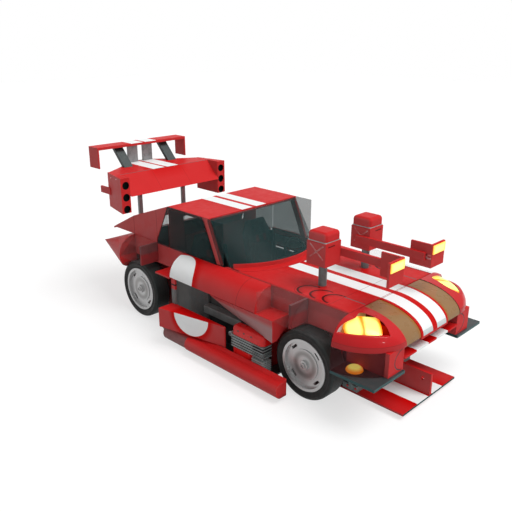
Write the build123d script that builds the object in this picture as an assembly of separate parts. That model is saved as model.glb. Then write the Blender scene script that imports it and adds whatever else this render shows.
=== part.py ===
from build123d import *
import os
from math import cos, radians, sin, sqrt

# A GT race car with a flat-sided, block-like body. The frame's origin is on the ground
# under the middle of the car, +X points forward, +Y to the car's left and +Z up.
# All sizes are in millimetres. Each piece is drawn on the car's left and mirrored.

# Wheels and axles
wheelbase = 2564
rear_axle_x = -1178
tyre_radius = 340
tyre_width = 208
tyre_shoulder = 34
sidewall_set = 18
wheel_outer_y = 813
rim_radius = 240
rim_flange = 14
flange_width = 9
barrel_wall = 12
wheel_disc = 24
wheel_disc_inset = 40
step_radius = 150
step_height = 9
hub_cap_radius = 46
hub_cap_height = 24
slot_count = 4
slot_pitch_radius = 192
slot_length = 74
slot_width = 26
hub_radius = 62
hub_length = 60
spindle_radius = 28
running_clearance = 0.05
spindle_end_gap = 2
brake_radius = 165
brake_thickness = 26
kingpin_y = 655
kingpin_radius = 14
kingpin_length = 34
upright_width = 50
upright_height = 260
upright_length = 110
hub_gap = 9
arm_thickness = 20
arm_foot = 110
arm_eye = 32
damper_radius = 34
damper_y = 530

# Heights of the body's main lines
floor_z = 60
floor_thickness = 20
sill_low_z = 494
waist_z = 720
belt_z = 947
knee_z = 1174
roof_z = 1414

# Widths of the body
body_half = 675
shoulder_radius = 227
well_wall_y = 470
floor_margin = 8
floor_corner_length = 200
floor_corner_width = 140
panel = 15
plate = 20

# Gaps: between what moves and what doesn't, between seams, and between seated pieces
moving_gap = 5
seam_gap = 10
seat_gap = 0.3

# Stations along the car
tail_tip_x = -2085
deck_tail_x = -1858
tail_base_x = -1405
rear_plate_x = -951
roof_rear_x = -724
roof_front_x = -44
door_rear_x = -441
sill_rear_x = 217
door_front_x = 863
sill_front_x = 1090
front_plate_x = 1317
hood_front_x = 1770
nose_front_x = 2224

# Floor
floor_rear_x = -800
floor_front_x = 1010
jack_pad_front_x = 850
jack_pad_rear_x = -650
jack_pad_y = 600
jack_pad_radius = 45
jack_pad_height = 12
underbody_front_x = 1564
firewall_x = 606
firewall_top_gap = 22
firewall_crest_half = 160
tunnel_half = 130
tunnel_top_z = 330

# Roof, deck and windows
roof_thickness = 36
deck_thickness = 22
glass = 8
pillar_depth = 30
pillar_width = 80
pillar_head_x = -123
pillar_foot_x = 69
vent_front_x = 183
quarter_front_x = -428
deck_foot_x = -1427
quarter_foot_x = -963
quarter_foot_z = 981
rear_window_half = 470
rear_window_low_z = 1040
rear_window_high_z = 1265
windscreen_margin = 25
windscreen_side_x = 236
windscreen_foot_x = 523
windscreen_bulge = 24
windscreen_foot_thickness = 13
cowl_side_x = 240
cowl_foot_x = 636
cowl_rim_height = 45
cowl_rim_width = 14
cowl_ledge = 40

# Doors
door_skin = 24
door_end = 24
door_hinge_inset = 22
door_pin_radius = 9
door_pin_length = 60
glass_rebate = 20

# Bonnet and its hinge
bonnet_thickness = 20
bonnet_pin_x = 300
bonnet_pin_drop = 32
bonnet_pin_radius = 8
bonnet_tab = 20
bonnet_tab_height = 42

# Side sills, skirts and what hangs beside the car
shelf_rear_x = -702
sill_skin = 20
sill_edge = 12
arch_clearance = 8
arch_box_wall = 8
arch_plate = 30
arch_box_rear_gap = 17
skirt_mount = 7
skirt_foot = 87
skirt_bulge = 144
skirt_bulge_z = 119
skirt_shoulder = 42
skirt_shoulder_z = 193
skirt_top_z = 215
skirt_z = 40
skirt_rear_bulge = 116
skirt_rear_x = -430
skirt_strip_rear_x = -420
skirt_joint_x = -30
skirt_front_x = 1294
block_rear_x = -407
block_tip_x = 444
block_width = 185
block_web = 18
block_low_z = 217
block_top_z = 437
side_post_length = 66
side_post_depth = 26
exhaust_low_z = 380
exhaust_height = 80
exhaust_depth = 92
exhaust_rear_x = -75
exhaust_front_x = 500
vent_rear_x = -384
vent_low_z = 267
vent_depth = 24
unit_rear_x = 540
unit_front_x = 980
unit_width = 125
unit_fin_low_z = 267
unit_fin_count = 5
unit_fin = 12
unit_fin_space = 16
unit_core_inset = 22
unit_cap_height = 100
unit_cap_round = 44
unit_corner_round = 50
radiator_length = 165
radiator_depth = 24

# Nose
band_half = 227
pod_inner_y = 454
nose_skin = 22
lens_drop = 6
lens_thickness = 12
pod_section_angles = (0, 18, 36, 52, 66, 78, 86)
lip_setback = 12
lip_drop = 107
lip_thickness = 20
canard_thickness = 28
lamp_window_rear = 655
lamp_window_front = 1090
lamp_window_corner_z = 840
lamp_window_low_z = 855
lamp_window_top_z = 933
lamp_window_shoulder = 60
headlamp_clearance = 6
headlamp_rear = 1720
headlamp_z = 880
headlamp_radius = 84
headlamp_place = 798
headlamp_spacing = 152
headlamp_foot = 90
fog_x = 1918
fog_outset = 78
fog_radius = 50
fog_height = 34

# Splitter
splitter_rear_x = 1544
splitter_reach = 20
splitter_half = 454
splitter_thickness = 20
fin_height = 218
fin_thickness = 30
fin_rear_x = 1850
tow_hole_radius = 20
tow_hole_inset = 70
stay_rear_x = 1580
stay_front_x = 1750
stay_depth = 137
stay_height = 60
hanger_width = 40

# Wings
wing_front_x = -1405
wing_crest_x = -1632
wing_corner_x = -1858
wing_knuckle_x = -2028
wing_knuckle_y = 408
wing_tail_x = -2255
wing_tail_half = 136
wing_low_z = 1401
wing_crest_z = 1628
wing_half = 680
wing_skin = 20
end_box_front_x = -1431
end_box_low_z = 1208
end_box_rear_width = 26
end_box_front_width = 125
end_hole_radius = 45
end_hole_depth = 40
end_hole_pitch = 142
end_hole_y = 737
rear_bar_low_z = 1370
rear_bar_height = 80
rear_bar_width = 26
rear_bar_rear_x = -1986
rear_bar_root = 80
wing_post_x = -1745
wing_post_y = 340
wing_post_radius = 31
collar_radius = 46
collar_height = 44
upper_wing_front_x = -2085
upper_wing_rear_x = -2294
upper_wing_z = 1854
upper_wing_thickness = 34
end_plate = 20
strut_foot_x = -1972
strut_width = 125
strut_depth = 60
upright_inner_y = 40
upright_outer_y = 187
upright_plate = 30

# Lamp towers on the bonnet
tower_x = 1203
tower_y = 340
tower_post_radius = 40
tower_box = 227
tower_box_z = 1174
cap_ring_radius = 80
cap_ring_height = 12
cap_side = 222
cap_height = 90
cap_round = 38
boom_low_z = 1242
boom_height = 79
boom_width = 34
boom_rear_x = 1169
boom_front_x = 1940
lamp_rear_x = 1770
lamp_front_x = 1997
lamp_wall = 24
lens_share_z = 1306
lens_plate = 10

# Cabin and drivetrain
seat_x = -300
seat_side_gap = 30
seat_height = 250
seat_length = 520
seat_back_top_z = 1130
seat_back_lean = 190
seat_back_depth = 110
seat_round = 60
dash_rear_x = 330
dash_side_gap = 40
dash_height = 150
wheel_ring_radius = 165
wheel_ring_tube = 14
wheel_ring_x = 215
wheel_ring_z = 850
column_radius = 22
engine_rear_x = 900
engine_front_x = 1500
engine_half = 280
engine_top_z = 660
engine_mount = 30
tank_rear_x = -1390
tank_front_x = -840
tank_half = 400
tank_top_z = 520

os.makedirs("parts", exist_ok=True)


# Worked-out places
front_axle_x = rear_axle_x + wheelbase
wheel_y = wheel_outer_y - tyre_width / 2
tub_floor_z = floor_z + floor_thickness
well_top_z = waist_z - plate
panel_inner_y = body_half - panel
tub_half = panel_inner_y - moving_gap
tub_inner_y = tub_half - panel
door_inner_y = body_half + moving_gap
door_bottom_z = waist_z + moving_gap
shoulder_y = door_inner_y + shoulder_radius
box_outer_y = door_inner_y
fog_y = box_outer_y + fog_outset
floor_half = shoulder_y + floor_margin
skirt_inner_y = floor_half + skirt_mount
unit_outer_y = floor_half
unit_inner_y = floor_half - unit_width
block_inner_y = floor_half - block_web
windscreen_half = body_half - windscreen_margin
seat_y = (tunnel_half + tub_inner_y) / 2
seat_half = (tub_inner_y - tunnel_half) / 2 - seat_side_gap
dash_half = tub_inner_y - dash_side_gap
bonnet_half = panel_inner_y - moving_gap
nose_reach = nose_front_x - hood_front_x
nose_rise = belt_z - waist_z


def box(x0, x1, y0, y1, z0, z1):
    """A block between two opposite corners."""
    middle = Pos((x0 + x1) / 2, (y0 + y1) / 2, (z0 + z1) / 2)
    return middle * Box(abs(x1 - x0), abs(y1 - y0), abs(z1 - z0))


def side_prism(points, y0, y1):
    """A side-view outline in X and Z, with its thickness from y0 outwards to y1."""
    face = make_face(Polyline([Vector(x, y0, z) for x, z in points], close=True))
    return extrude(face, amount=y1 - y0, dir=(0, 1, 0))


def plan_prism(points, z0, z1):
    """A plan outline in X and Y, given its height."""
    face = make_face(Polyline([Vector(x, y, z0) for x, y in points], close=True))
    return extrude(face, amount=z1 - z0, dir=(0, 0, 1))


def cross_prism(points, x0, x1):
    """A cross-section in Y and Z, given its length along the car."""
    face = make_face(Polyline([Vector(x0, y, z) for y, z in points], close=True))
    return extrude(face, amount=x1 - x0, dir=(1, 0, 0))


def upright_cylinder(x, y, z0, z1, radius):
    return Pos(x, y, (z0 + z1) / 2) * Cylinder(radius, z1 - z0)


def cross_cylinder(x, y0, y1, z, radius):
    """A round bar that lies across the car."""
    return Pos(x, (y0 + y1) / 2, z) * Rot(90, 0, 0) * Cylinder(radius, abs(y1 - y0))


def along_cylinder(x0, x1, y, z, radius):
    """A round bar that lies along the car."""
    return Pos((x0 + x1) / 2, y, z) * Rot(0, 90, 0) * Cylinder(radius, abs(x1 - x0))


def mirrored(piece):
    """The same piece on the car's right."""
    return mirror(piece, about=Plane.XZ)


def both_sides(*pieces):
    return [side for piece in pieces for side in (piece, mirrored(piece))]


def save(name, *pieces):
    """Write one node. Pieces that don't touch stay separate solids in its file."""
    solids = [solid for piece in pieces for solid in piece.solids()]
    shape = solids[0] if len(solids) == 1 else Compound(children=solids)
    export_step(shape, f"parts/{name}.step")


def ring_about_axle(profile, x):
    """A wheel piece: its outline, as radius and width, turned about an axle."""
    face = make_face(Polyline([Vector(0, y, r) for r, y in profile], close=True))
    return Pos(x, 0, tyre_radius) * revolve(face, Axis.Y, 360)


# ---------------------------------------------------------------- wheels
def tyre(x):
    """A slick tyre with round shoulders, seated between the rim's two flanges."""
    half = tyre_width / 2
    bead = half - sidewall_set
    bore = rim_radius + seat_gap
    flange = rim_radius + rim_flange + seat_gap
    wall_top = tyre_radius - tyre_shoulder
    outline = Polyline(
        [
            Vector(0, wheel_y - half, wall_top),
            Vector(0, wheel_y - bead, flange),
            Vector(0, wheel_y - bead, bore),
            Vector(0, wheel_y + bead, bore),
            Vector(0, wheel_y + bead, flange),
            Vector(0, wheel_y + half, wall_top),
        ]
    )
    tread_end = half - tyre_shoulder
    mid = tyre_shoulder * sqrt(0.5)
    left = ThreePointArc(
        Vector(0, wheel_y + half, wall_top),
        Vector(0, wheel_y + tread_end + mid, wall_top + mid),
        Vector(0, wheel_y + tread_end, tyre_radius),
    )
    tread = Line(
        Vector(0, wheel_y + tread_end, tyre_radius),
        Vector(0, wheel_y - tread_end, tyre_radius),
    )
    right = ThreePointArc(
        Vector(0, wheel_y - tread_end, tyre_radius),
        Vector(0, wheel_y - tread_end - mid, wall_top + mid),
        Vector(0, wheel_y - half, wall_top),
    )
    face = make_face([outline, left, tread, right])
    return Pos(x, 0, tyre_radius) * revolve(face, Axis.Y, 360)


def rim(x):
    """A dished wheel: barrel with flanges, stepped disc with slots, hub and cap."""
    bead = tyre_width / 2 - sidewall_set
    edge = bead + seat_gap
    inner = rim_radius - barrel_wall
    flange = rim_radius + rim_flange
    disc_out = wheel_outer_y - wheel_disc_inset
    disc_in = disc_out - wheel_disc
    barrel = ring_about_axle(
        [
            (inner, wheel_y - edge - flange_width),
            (flange, wheel_y - edge - flange_width),
            (flange, wheel_y - edge),
            (rim_radius, wheel_y - edge),
            (rim_radius, wheel_y + edge),
            (flange, wheel_y + edge),
            (flange, wheel_y + edge + flange_width),
            (inner, wheel_y + edge + flange_width),
        ],
        x,
    )
    disc = cross_cylinder(x, disc_in, disc_out, tyre_radius, inner + barrel_wall / 2)
    for i in range(slot_count):
        angle = 360 / slot_count * (i + 0.5)
        place = Pos(x, (disc_in + disc_out) / 2, tyre_radius) * Rot(0, angle, 0)
        slot = Pos(0, 0, slot_pitch_radius) * Box(slot_length, wheel_disc + 2, slot_width)
        disc -= place * slot
    step = cross_cylinder(x, disc_out, disc_out + step_height, tyre_radius, step_radius)
    cap_out = disc_out + step_height + hub_cap_height
    cap = cross_cylinder(x, disc_out, cap_out, tyre_radius, hub_cap_radius)
    hub = cross_cylinder(x, disc_in - hub_length, disc_in, tyre_radius, hub_radius)
    bore_radius = spindle_radius + running_clearance
    bore = cross_cylinder(x, disc_in - hub_length - 1, disc_out, tyre_radius, bore_radius)
    return barrel + disc + step + cap + hub - bore


def brake_disc(x):
    """The brake disc, seated on the hub's barrel."""
    inner_end = wheel_outer_y - wheel_disc_inset - wheel_disc - hub_length
    y0 = inner_end + 4
    ring = cross_cylinder(x, y0, y0 + brake_thickness, tyre_radius, brake_radius)
    return ring - cross_cylinder(x, y0 - 1, y0 + brake_thickness + 1, tyre_radius, hub_radius + seat_gap)


def wheels():
    for end, x in (("f", front_axle_x), ("r", rear_axle_x)):
        rubber = tyre(x)
        metal = rim(x)
        disc = brake_disc(x)
        save(f"tyre_{end}l", rubber)
        save(f"tyre_{end}r", mirrored(rubber))
        save(f"rim_{end}l", metal, disc)
        save(f"rim_{end}r", mirrored(metal), mirrored(disc))


# ---------------------------------------------------------------- suspension
hub_inner_y = wheel_outer_y - wheel_disc_inset - wheel_disc - hub_length
upright_outer_face_y = hub_inner_y - hub_gap


def upright(x):
    """The block behind the wheel, with the spindle that the hub turns on."""
    y1 = upright_outer_face_y
    half = upright_height / 2
    block = box(x - upright_length / 2, x + upright_length / 2, y1 - upright_width, y1,
                tyre_radius - half, tyre_radius + half)
    spindle_end = wheel_outer_y - wheel_disc_inset - spindle_end_gap
    return block + cross_cylinder(x, y1 - 1, spindle_end, tyre_radius, spindle_radius)


def knuckle():
    """A steered upright, with a kingpin above and below."""
    low = tyre_radius - upright_height / 2
    high = tyre_radius + upright_height / 2
    pin = upright_cylinder(front_axle_x, kingpin_y, low - kingpin_length, high + kingpin_length,
                           kingpin_radius)
    return upright(front_axle_x) + pin


def wishbone(x, z0, eye_y, bore):
    """A flat A-shaped arm from the well's wall to the upright."""
    outline = [
        (x - arm_foot, well_wall_y),
        (x + arm_foot, well_wall_y),
        (x + arm_eye, eye_y),
        (x - arm_eye, eye_y),
    ]
    arm = plan_prism(outline, z0, z0 + arm_thickness)
    window = [
        (x - arm_foot + 50, well_wall_y + 22),
        (x + arm_foot - 50, well_wall_y + 22),
        (x + arm_eye - 22, eye_y - 55),
        (x - arm_eye + 22, eye_y - 55),
    ]
    arm -= plan_prism(window, z0 - 1, z0 + arm_thickness + 1)
    if bore:
        arm += upright_cylinder(x, eye_y, z0, z0 + arm_thickness, arm_eye)
        arm -= upright_cylinder(x, eye_y, z0 - 1, z0 + arm_thickness + 1, bore)
    return arm


def damper(x, z0):
    """A coil-over damper between the lower arm and the wheel house."""
    body = upright_cylinder(x, damper_y, z0, well_top_z, damper_radius * 0.6)
    spring = upright_cylinder(x, damper_y, z0 + 120, well_top_z - 60, damper_radius)
    return body + spring


def suspension():
    low = tyre_radius - upright_height / 2
    high = tyre_radius + upright_height / 2
    eye_bore = kingpin_radius + running_clearance
    low_arm_z = low - moving_gap - arm_thickness
    high_arm_z = high + moving_gap
    front = wishbone(front_axle_x, low_arm_z, kingpin_y, eye_bore)
    front += damper(front_axle_x, low_arm_z + arm_thickness / 2)
    front_high = wishbone(front_axle_x, high_arm_z, kingpin_y, eye_bore)
    front_high -= upright_cylinder(front_axle_x, damper_y, high_arm_z - 1,
                                   high_arm_z + arm_thickness + 1, damper_radius + moving_gap)
    inner_face = upright_outer_face_y - upright_width
    rear = upright(rear_axle_x)
    rear += wishbone(rear_axle_x, low, inner_face + 1, 0)
    rear += wishbone(rear_axle_x, high - arm_thickness, inner_face + 1, 0)
    rear += damper(rear_axle_x, low + arm_thickness / 2)
    return both_sides(front, front_high, rear)


# ---------------------------------------------------------------- floor and tub
def floor_pan():
    """The flat floor with its four jack pads, the cabin's side walls and the middle tunnel."""
    z0 = floor_z
    z1 = tub_floor_z
    outline = [
        (floor_rear_x, floor_half - floor_corner_width),
        (floor_rear_x + floor_corner_length, floor_half),
        (floor_front_x, floor_half),
        (floor_front_x, -floor_half),
        (floor_rear_x + floor_corner_length, -floor_half),
        (floor_rear_x, floor_corner_width - floor_half),
    ]
    pan = plan_prism(outline, z0, z1)
    pan += box(tail_base_x, floor_rear_x, -well_wall_y, well_wall_y, z0, z1)
    pan += box(floor_front_x, underbody_front_x, -well_wall_y, well_wall_y, z0, z1)
    rear_x = roof_rear_x
    for side in (-1, 1):
        pan += box(rear_x, door_front_x, side * (tub_half - panel), side * tub_half, z1,
                   waist_z - moving_gap)
    tunnel = box(rear_x + panel, firewall_x, -tunnel_half, tunnel_half, z1, tunnel_top_z)
    tunnel -= box(rear_x, firewall_x + 1, panel - tunnel_half, tunnel_half - panel, z1 - 1,
                  tunnel_top_z - panel)
    for x in (jack_pad_front_x, jack_pad_rear_x):
        for y in (-jack_pad_y, jack_pad_y):
            pan += upright_cylinder(x, y, z0 - jack_pad_height, z1, jack_pad_radius)
    return pan + tunnel


def bulkheads():
    """The wall behind the seats, with its window, and the firewall ahead of the feet."""
    inner = tub_half - panel
    split = waist_z - moving_gap
    roof_under = roof_z - roof_thickness
    rear_outline = [
        (-inner, tub_floor_z),
        (inner, tub_floor_z),
        (inner, split),
        (panel_inner_y, split),
        (panel_inner_y, belt_z),
        (body_half, belt_z),
        (body_half, roof_under),
        (-body_half, roof_under),
        (-body_half, belt_z),
        (-panel_inner_y, belt_z),
        (-panel_inner_y, split),
        (-inner, split),
    ]
    rear = cross_prism(rear_outline, roof_rear_x, roof_rear_x + panel)
    rear -= box(roof_rear_x - 1, roof_rear_x + panel + 1, -rear_window_half, rear_window_half,
                rear_window_low_z, rear_window_high_z)
    top = belt_z - bonnet_thickness
    shoulder = top - firewall_top_gap
    upper = bonnet_half - bonnet_tab - moving_gap
    firewall_outline = [
        (-inner, tub_floor_z),
        (inner, tub_floor_z),
        (inner, split),
        (upper, split),
        (upper, shoulder),
        (firewall_crest_half, shoulder),
        (firewall_crest_half, top),
        (-firewall_crest_half, top),
        (-firewall_crest_half, shoulder),
        (-upper, shoulder),
        (-upper, split),
        (-inner, split),
    ]
    firewall = cross_prism(firewall_outline, firewall_x, firewall_x + panel)
    return [rear, firewall]


def front_side():
    """Body side beside the bonnet, the wheel house behind it and the bonnet's pin."""
    x0 = vent_front_x + moving_gap
    x1 = hood_front_x
    inner = well_wall_y - panel
    side = box(x0, x1, panel_inner_y, body_half, well_top_z, belt_z)
    side += box(door_front_x, x1, inner, body_half, well_top_z, waist_z)
    side += box(door_front_x, x1, inner, well_wall_y, tub_floor_z, well_top_z)
    side += box(door_front_x, door_front_x + panel, inner, body_half, tub_floor_z, waist_z)
    side -= box(underbody_front_x, x1 + 1, inner - 1, well_wall_y + 1, floor_z, sill_low_z)
    pin_z = belt_z - bonnet_pin_drop
    side += cross_cylinder(bonnet_pin_x, bonnet_half - bonnet_tab - moving_gap,
                           panel_inner_y + 1, pin_z, bonnet_pin_radius)
    return side


def rear_side():
    """Body side behind the door, the rear wheel house and the shelf ahead of the wheel."""
    x0 = tail_base_x
    x1 = door_rear_x - moving_gap
    inner = well_wall_y - panel
    side = box(x0, x1, panel_inner_y, body_half, waist_z - moving_gap, belt_z)
    side += box(x0, roof_rear_x, inner, body_half, well_top_z, waist_z)
    side += box(tail_base_x, roof_rear_x, inner, well_wall_y, tub_floor_z, well_top_z)
    shelf_low = waist_z - sill_skin
    side += box(shelf_rear_x, x1, panel_inner_y, shoulder_y, shelf_low, waist_z)
    return side


# ---------------------------------------------------------------- beside the cabin
def swept_ball():
    """The room that the front tyre needs round its kingpin as it steers."""
    corner = wheel_outer_y - kingpin_y
    reach = sqrt(tyre_radius**2 + corner**2) + arch_clearance
    return Pos(front_axle_x, kingpin_y, tyre_radius) * Sphere(reach)


def pod_body(inset):
    """The sill's outer shape, moved in by an inset, or out where that is negative."""

    def section(x, low_y):
        high = waist_z - inset
        low = sill_low_z + inset
        points = [(panel_inner_y, low), (low_y - inset, low), (shoulder_y - inset, high),
                  (panel_inner_y, high)]
        return make_face(Polyline([Vector(x, y, z) for y, z in points], close=True))

    rear_low_y = body_half + sill_edge + 2 * max(inset, 0)
    rear = section(sill_rear_x + inset, rear_low_y)
    front = section(sill_front_x - inset, shoulder_y)
    return loft([rear, front], ruled=True)


def side_pod():
    """The hollow sill below the door, tapered along its lower edge, with the door's pin."""
    beside_wall = box(sill_rear_x - 1, sill_front_x + 1, panel_inner_y - 1, body_half,
                      sill_low_z - 1, waist_z + 1)
    pod = pod_body(0) - pod_body(sill_skin) - beside_wall - swept_ball()
    pin_x = door_front_x - moving_gap - door_hinge_inset
    pin_y = shoulder_y - door_hinge_inset
    pin = upright_cylinder(pin_x, pin_y, waist_z - sill_skin, door_bottom_z + door_pin_length,
                           door_pin_radius)
    return pod + pin


def skirt():
    """The low outer skirt: a slimmer rear length, a seam, and the long front one."""
    lengths = (
        (skirt_rear_x, skirt_joint_x - seat_gap, skirt_rear_bulge),
        (skirt_joint_x, skirt_front_x, skirt_bulge),
    )
    pieces = []
    for x0, x1, fullness in lengths:
        start = Vector(x0, skirt_inner_y + skirt_foot, skirt_z)
        bulge = Vector(x0, skirt_inner_y + fullness, skirt_bulge_z)
        shoulder = Vector(x0, skirt_inner_y + skirt_shoulder, skirt_shoulder_z)
        top = Vector(x0, skirt_inner_y, skirt_top_z)
        low = Vector(x0, skirt_inner_y, skirt_z)
        section = make_face([ThreePointArc(start, bulge, shoulder),
                             Polyline([shoulder, top, low, start])])
        pieces.append(extrude(section, amount=x1 - x0, dir=(1, 0, 0)))
    return pieces


def skirt_carrier():
    """A strip on the floor's edge that the skirt is screwed to."""
    return box(skirt_strip_rear_x, floor_front_x, floor_half, skirt_inner_y, floor_z,
               skirt_shoulder_z)


def intake_block():
    """The wedge beside the sill, on the web that stands on the floor."""
    web_outer = floor_half
    outline = [(block_rear_x, web_outer), (block_tip_x, web_outer),
               (block_rear_x, web_outer + block_width)]
    wedge = plan_prism(outline, block_low_z, block_top_z)
    return wedge + box(block_rear_x, block_tip_x, block_inner_y, web_outer, tub_floor_z,
                       block_top_z)


def side_post():
    """The short post from the wedge up to the underside of the door."""
    return box(block_rear_x, block_rear_x + side_post_length, floor_half - side_post_depth,
               floor_half, block_top_z, waist_z)


def side_exhaust():
    """The flat silencer against the cabin's wall."""
    return box(exhaust_rear_x, exhaust_front_x, tub_half, tub_half + exhaust_depth, exhaust_low_z,
               exhaust_low_z + exhaust_height)


def vent_panel():
    """The dark panel on the cabin's wall behind the silencer."""
    return box(vent_rear_x, exhaust_rear_x - seat_gap, tub_half, tub_half + vent_depth, vent_low_z,
               waist_z - moving_gap)


def side_unit():
    """The finned cooler: plates on a core, with the radiator ahead of its foot."""
    core = box(unit_rear_x + unit_core_inset, unit_front_x - unit_core_inset,
               unit_inner_y + unit_core_inset, unit_outer_y - unit_core_inset, unit_fin_low_z,
               unit_fin_low_z + unit_fin_count * (unit_fin + unit_fin_space))
    for i in range(unit_fin_count):
        z0 = unit_fin_low_z + i * (unit_fin + unit_fin_space) + unit_fin_space / 2
        core += box(unit_rear_x, unit_front_x, unit_inner_y, unit_outer_y, z0, z0 + unit_fin)
    return core


def unit_slab(front_x, z0, z1):
    """A level slab of the cooler with its two outer corners rounded."""
    slab = box(unit_rear_x, front_x, unit_inner_y, unit_outer_y, z0, z1)
    outer = slab.edges().filter_by(Axis.Z).group_by(Axis.Y)[-1]
    return fillet(outer, unit_corner_round)


def unit_cap():
    """The rounded cover over the cooler's top plate."""
    z0 = unit_fin_low_z + unit_fin_count * (unit_fin + unit_fin_space)
    cap = unit_slab(unit_front_x, z0, z0 + unit_cap_height)
    return fillet(cap.edges().group_by(Axis.Z)[-1], unit_cap_round) - pod_body(-seat_gap)


def unit_foot():
    """The cooler's foot on the floor."""
    return unit_slab(unit_front_x - radiator_length, tub_floor_z, unit_fin_low_z)


def radiator():
    """The louvred matrix beside the foot, under the front of the cooler."""
    return box(unit_front_x - radiator_length, unit_front_x, unit_outer_y - radiator_depth * 2,
               unit_outer_y - radiator_depth, tub_floor_z, unit_fin_low_z)


def arch_box(x0, x1):
    """A clear cover above a wheel: an outer wall and a top, closed at its rear end."""
    wall = arch_box_wall
    y0 = body_half
    y1 = shoulder_y
    cover = box(x0, x1, y0, y1, waist_z, belt_z)
    return cover - box(x0 + wall, x1 + 1, y0 - 1, y1 - wall, waist_z - 1, belt_z - wall)


def fender_cover():
    """The clear quarter-round shell that carries the shoulder on to the headlamp pod."""
    outer = quarter_round(front_plate_x, hood_front_x, shoulder_radius)
    return outer - quarter_round(front_plate_x - 1, hood_front_x + 1,
                                 shoulder_radius - arch_box_wall)


def nose_cover():
    """The clear wall that hangs from the pod's rim to the plate below, outside the nose box."""
    z0 = sill_low_z
    z1 = waist_z

    def plan(inset):
        plane = Plane(origin=(hood_front_x, pod_inner_y, z0))
        arc = EllipticalCenterArc((0, 0), nose_reach - inset, shoulder_y - pod_inner_y - inset,
                                  start_angle=0, arc_size=90)
        x_end = Line((nose_reach - inset, 0), (0, 0))
        y_end = Line((0, shoulder_y - pod_inner_y - inset), (0, 0))
        return extrude(plane * make_face([arc, x_end, y_end]), amount=z1 - z0, dir=(0, 0, 1))

    wall = plan(0) - plan(arch_box_wall)
    return wall & box(hood_front_x, nose_front_x, box_outer_y, shoulder_y, z0, z1)


def arch_plate_at(x):
    """The dark upright plate at the front end of a clear cover."""
    return box(x - arch_plate, x, body_half, shoulder_y, waist_z, belt_z)


# ---------------------------------------------------------------- doors
def quarter_round(x0, x1, radius):
    """The outer upper quarter of a bar that lies along the car at waist height."""
    bar = along_cylinder(x0, x1, door_inner_y, waist_z, radius)
    keep = box(x0 - 1, x1 + 1, door_inner_y, shoulder_y + 1, door_bottom_z, belt_z + 1)
    return bar & keep


def door():
    """A hollow quarter-round shoulder with a pocket towards the cabin."""
    x0 = door_rear_x
    x1 = door_front_x - moving_gap
    shell = quarter_round(x0, x1, shoulder_radius)
    hollow = quarter_round(x0 + door_end, x1 - door_end - 2 * door_hinge_inset,
                           shoulder_radius - door_skin)
    hollow &= box(x0, x1, door_inner_y - 1, shoulder_y, door_bottom_z + door_skin,
                  belt_z - glass_rebate - 2 * door_skin)
    shell -= hollow
    shell -= box(x0 - 1, pillar_foot_x + 2 * seam_gap, door_inner_y - 1, door_inner_y + glass + seat_gap,
                 belt_z - glass_rebate - seat_gap, belt_z + 1)
    pin_x = door_front_x - moving_gap - door_hinge_inset
    pin_y = shoulder_y - door_hinge_inset
    bore = upright_cylinder(pin_x, pin_y, door_bottom_z - 1,
                            door_bottom_z + door_pin_length + moving_gap,
                            door_pin_radius + running_clearance)
    return shell - bore


def pillar_outline(grow):
    """The windscreen pillar in side view, with its edges moved out by a gap."""
    head = roof_z - roof_thickness
    return [
        (pillar_foot_x - grow, belt_z),
        (pillar_foot_x + pillar_width + grow, belt_z),
        (pillar_head_x + pillar_width + grow, head),
        (pillar_head_x - grow, head),
    ]


def door_glass():
    """The door's flat pane, cut to the windscreen pillar's slope."""
    low = belt_z - glass_rebate
    high = roof_z - moving_gap
    slope = (pillar_foot_x - pillar_head_x) / (roof_z - roof_thickness - belt_z)
    foot = pillar_foot_x - moving_gap + slope * glass_rebate
    head = pillar_head_x - moving_gap - slope * (high - roof_z + roof_thickness)
    x0 = quarter_front_x + seam_gap
    outline = [(x0, low), (foot, low), (head, high), (x0, high)]
    return side_prism(outline, door_inner_y, door_inner_y + glass)


# ---------------------------------------------------------------- roof and glass
def roof():
    """The flat roof with its two windscreen pillars."""
    top = box(roof_rear_x, roof_front_x, -body_half, body_half, roof_z - roof_thickness, roof_z)
    pillar = side_prism(pillar_outline(0), body_half - pillar_depth, body_half)
    return top + pillar + mirrored(pillar)


def fixed_panes():
    """The fixed side panes: quarter light, rear triangle and the vane ahead of the pillar."""
    y0 = body_half + seat_gap
    y1 = y0 + glass
    low = belt_z - glass
    high = roof_z - moving_gap
    quarter = box(roof_rear_x + seam_gap, quarter_front_x, y0, y1, low, high)
    gap = seam_gap / 2
    triangle = side_prism(
        [
            (rear_plate_x + seam_gap, quarter_foot_z),
            (roof_rear_x - gap, high),
            (roof_rear_x - gap, low),
            (rear_plate_x + seam_gap, low),
        ],
        y0,
        y1,
    )
    head = roof_z - roof_thickness
    vane = side_prism(
        [
            (pillar_foot_x + pillar_width - gap, belt_z),
            (vent_front_x, belt_z),
            (vent_front_x, high),
            (pillar_head_x + pillar_width - gap, high),
            (pillar_head_x + pillar_width - gap, head),
        ],
        y0,
        y1,
    )
    return both_sides(quarter, triangle, vane)


def foot_strip(z, side_x, middle_x, half, thickness):
    """A thin curved strip across the car, as the end face of the windscreen."""
    back = ThreePointArc(Vector(side_x, -half, z), Vector(middle_x, 0, z), Vector(side_x, half, z))
    front = ThreePointArc(
        Vector(side_x + thickness, half, z),
        Vector(middle_x + thickness, 0, z),
        Vector(side_x + thickness, -half, z),
    )
    ends = [Line(back @ 1, front @ 0), Line(front @ 1, back @ 0)]
    return make_face([back, ends[0], front, ends[1]])


def windscreen():
    """The raked, forward-bowed windscreen between the roof's edge and the cowl."""
    foot = foot_strip(belt_z, windscreen_side_x, windscreen_foot_x, windscreen_half,
                      windscreen_foot_thickness)
    head_x = roof_front_x + seat_gap
    head = foot_strip(roof_z - glass, head_x, head_x + windscreen_bulge, windscreen_half, glass)
    return loft([foot, head], ruled=True)


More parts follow.
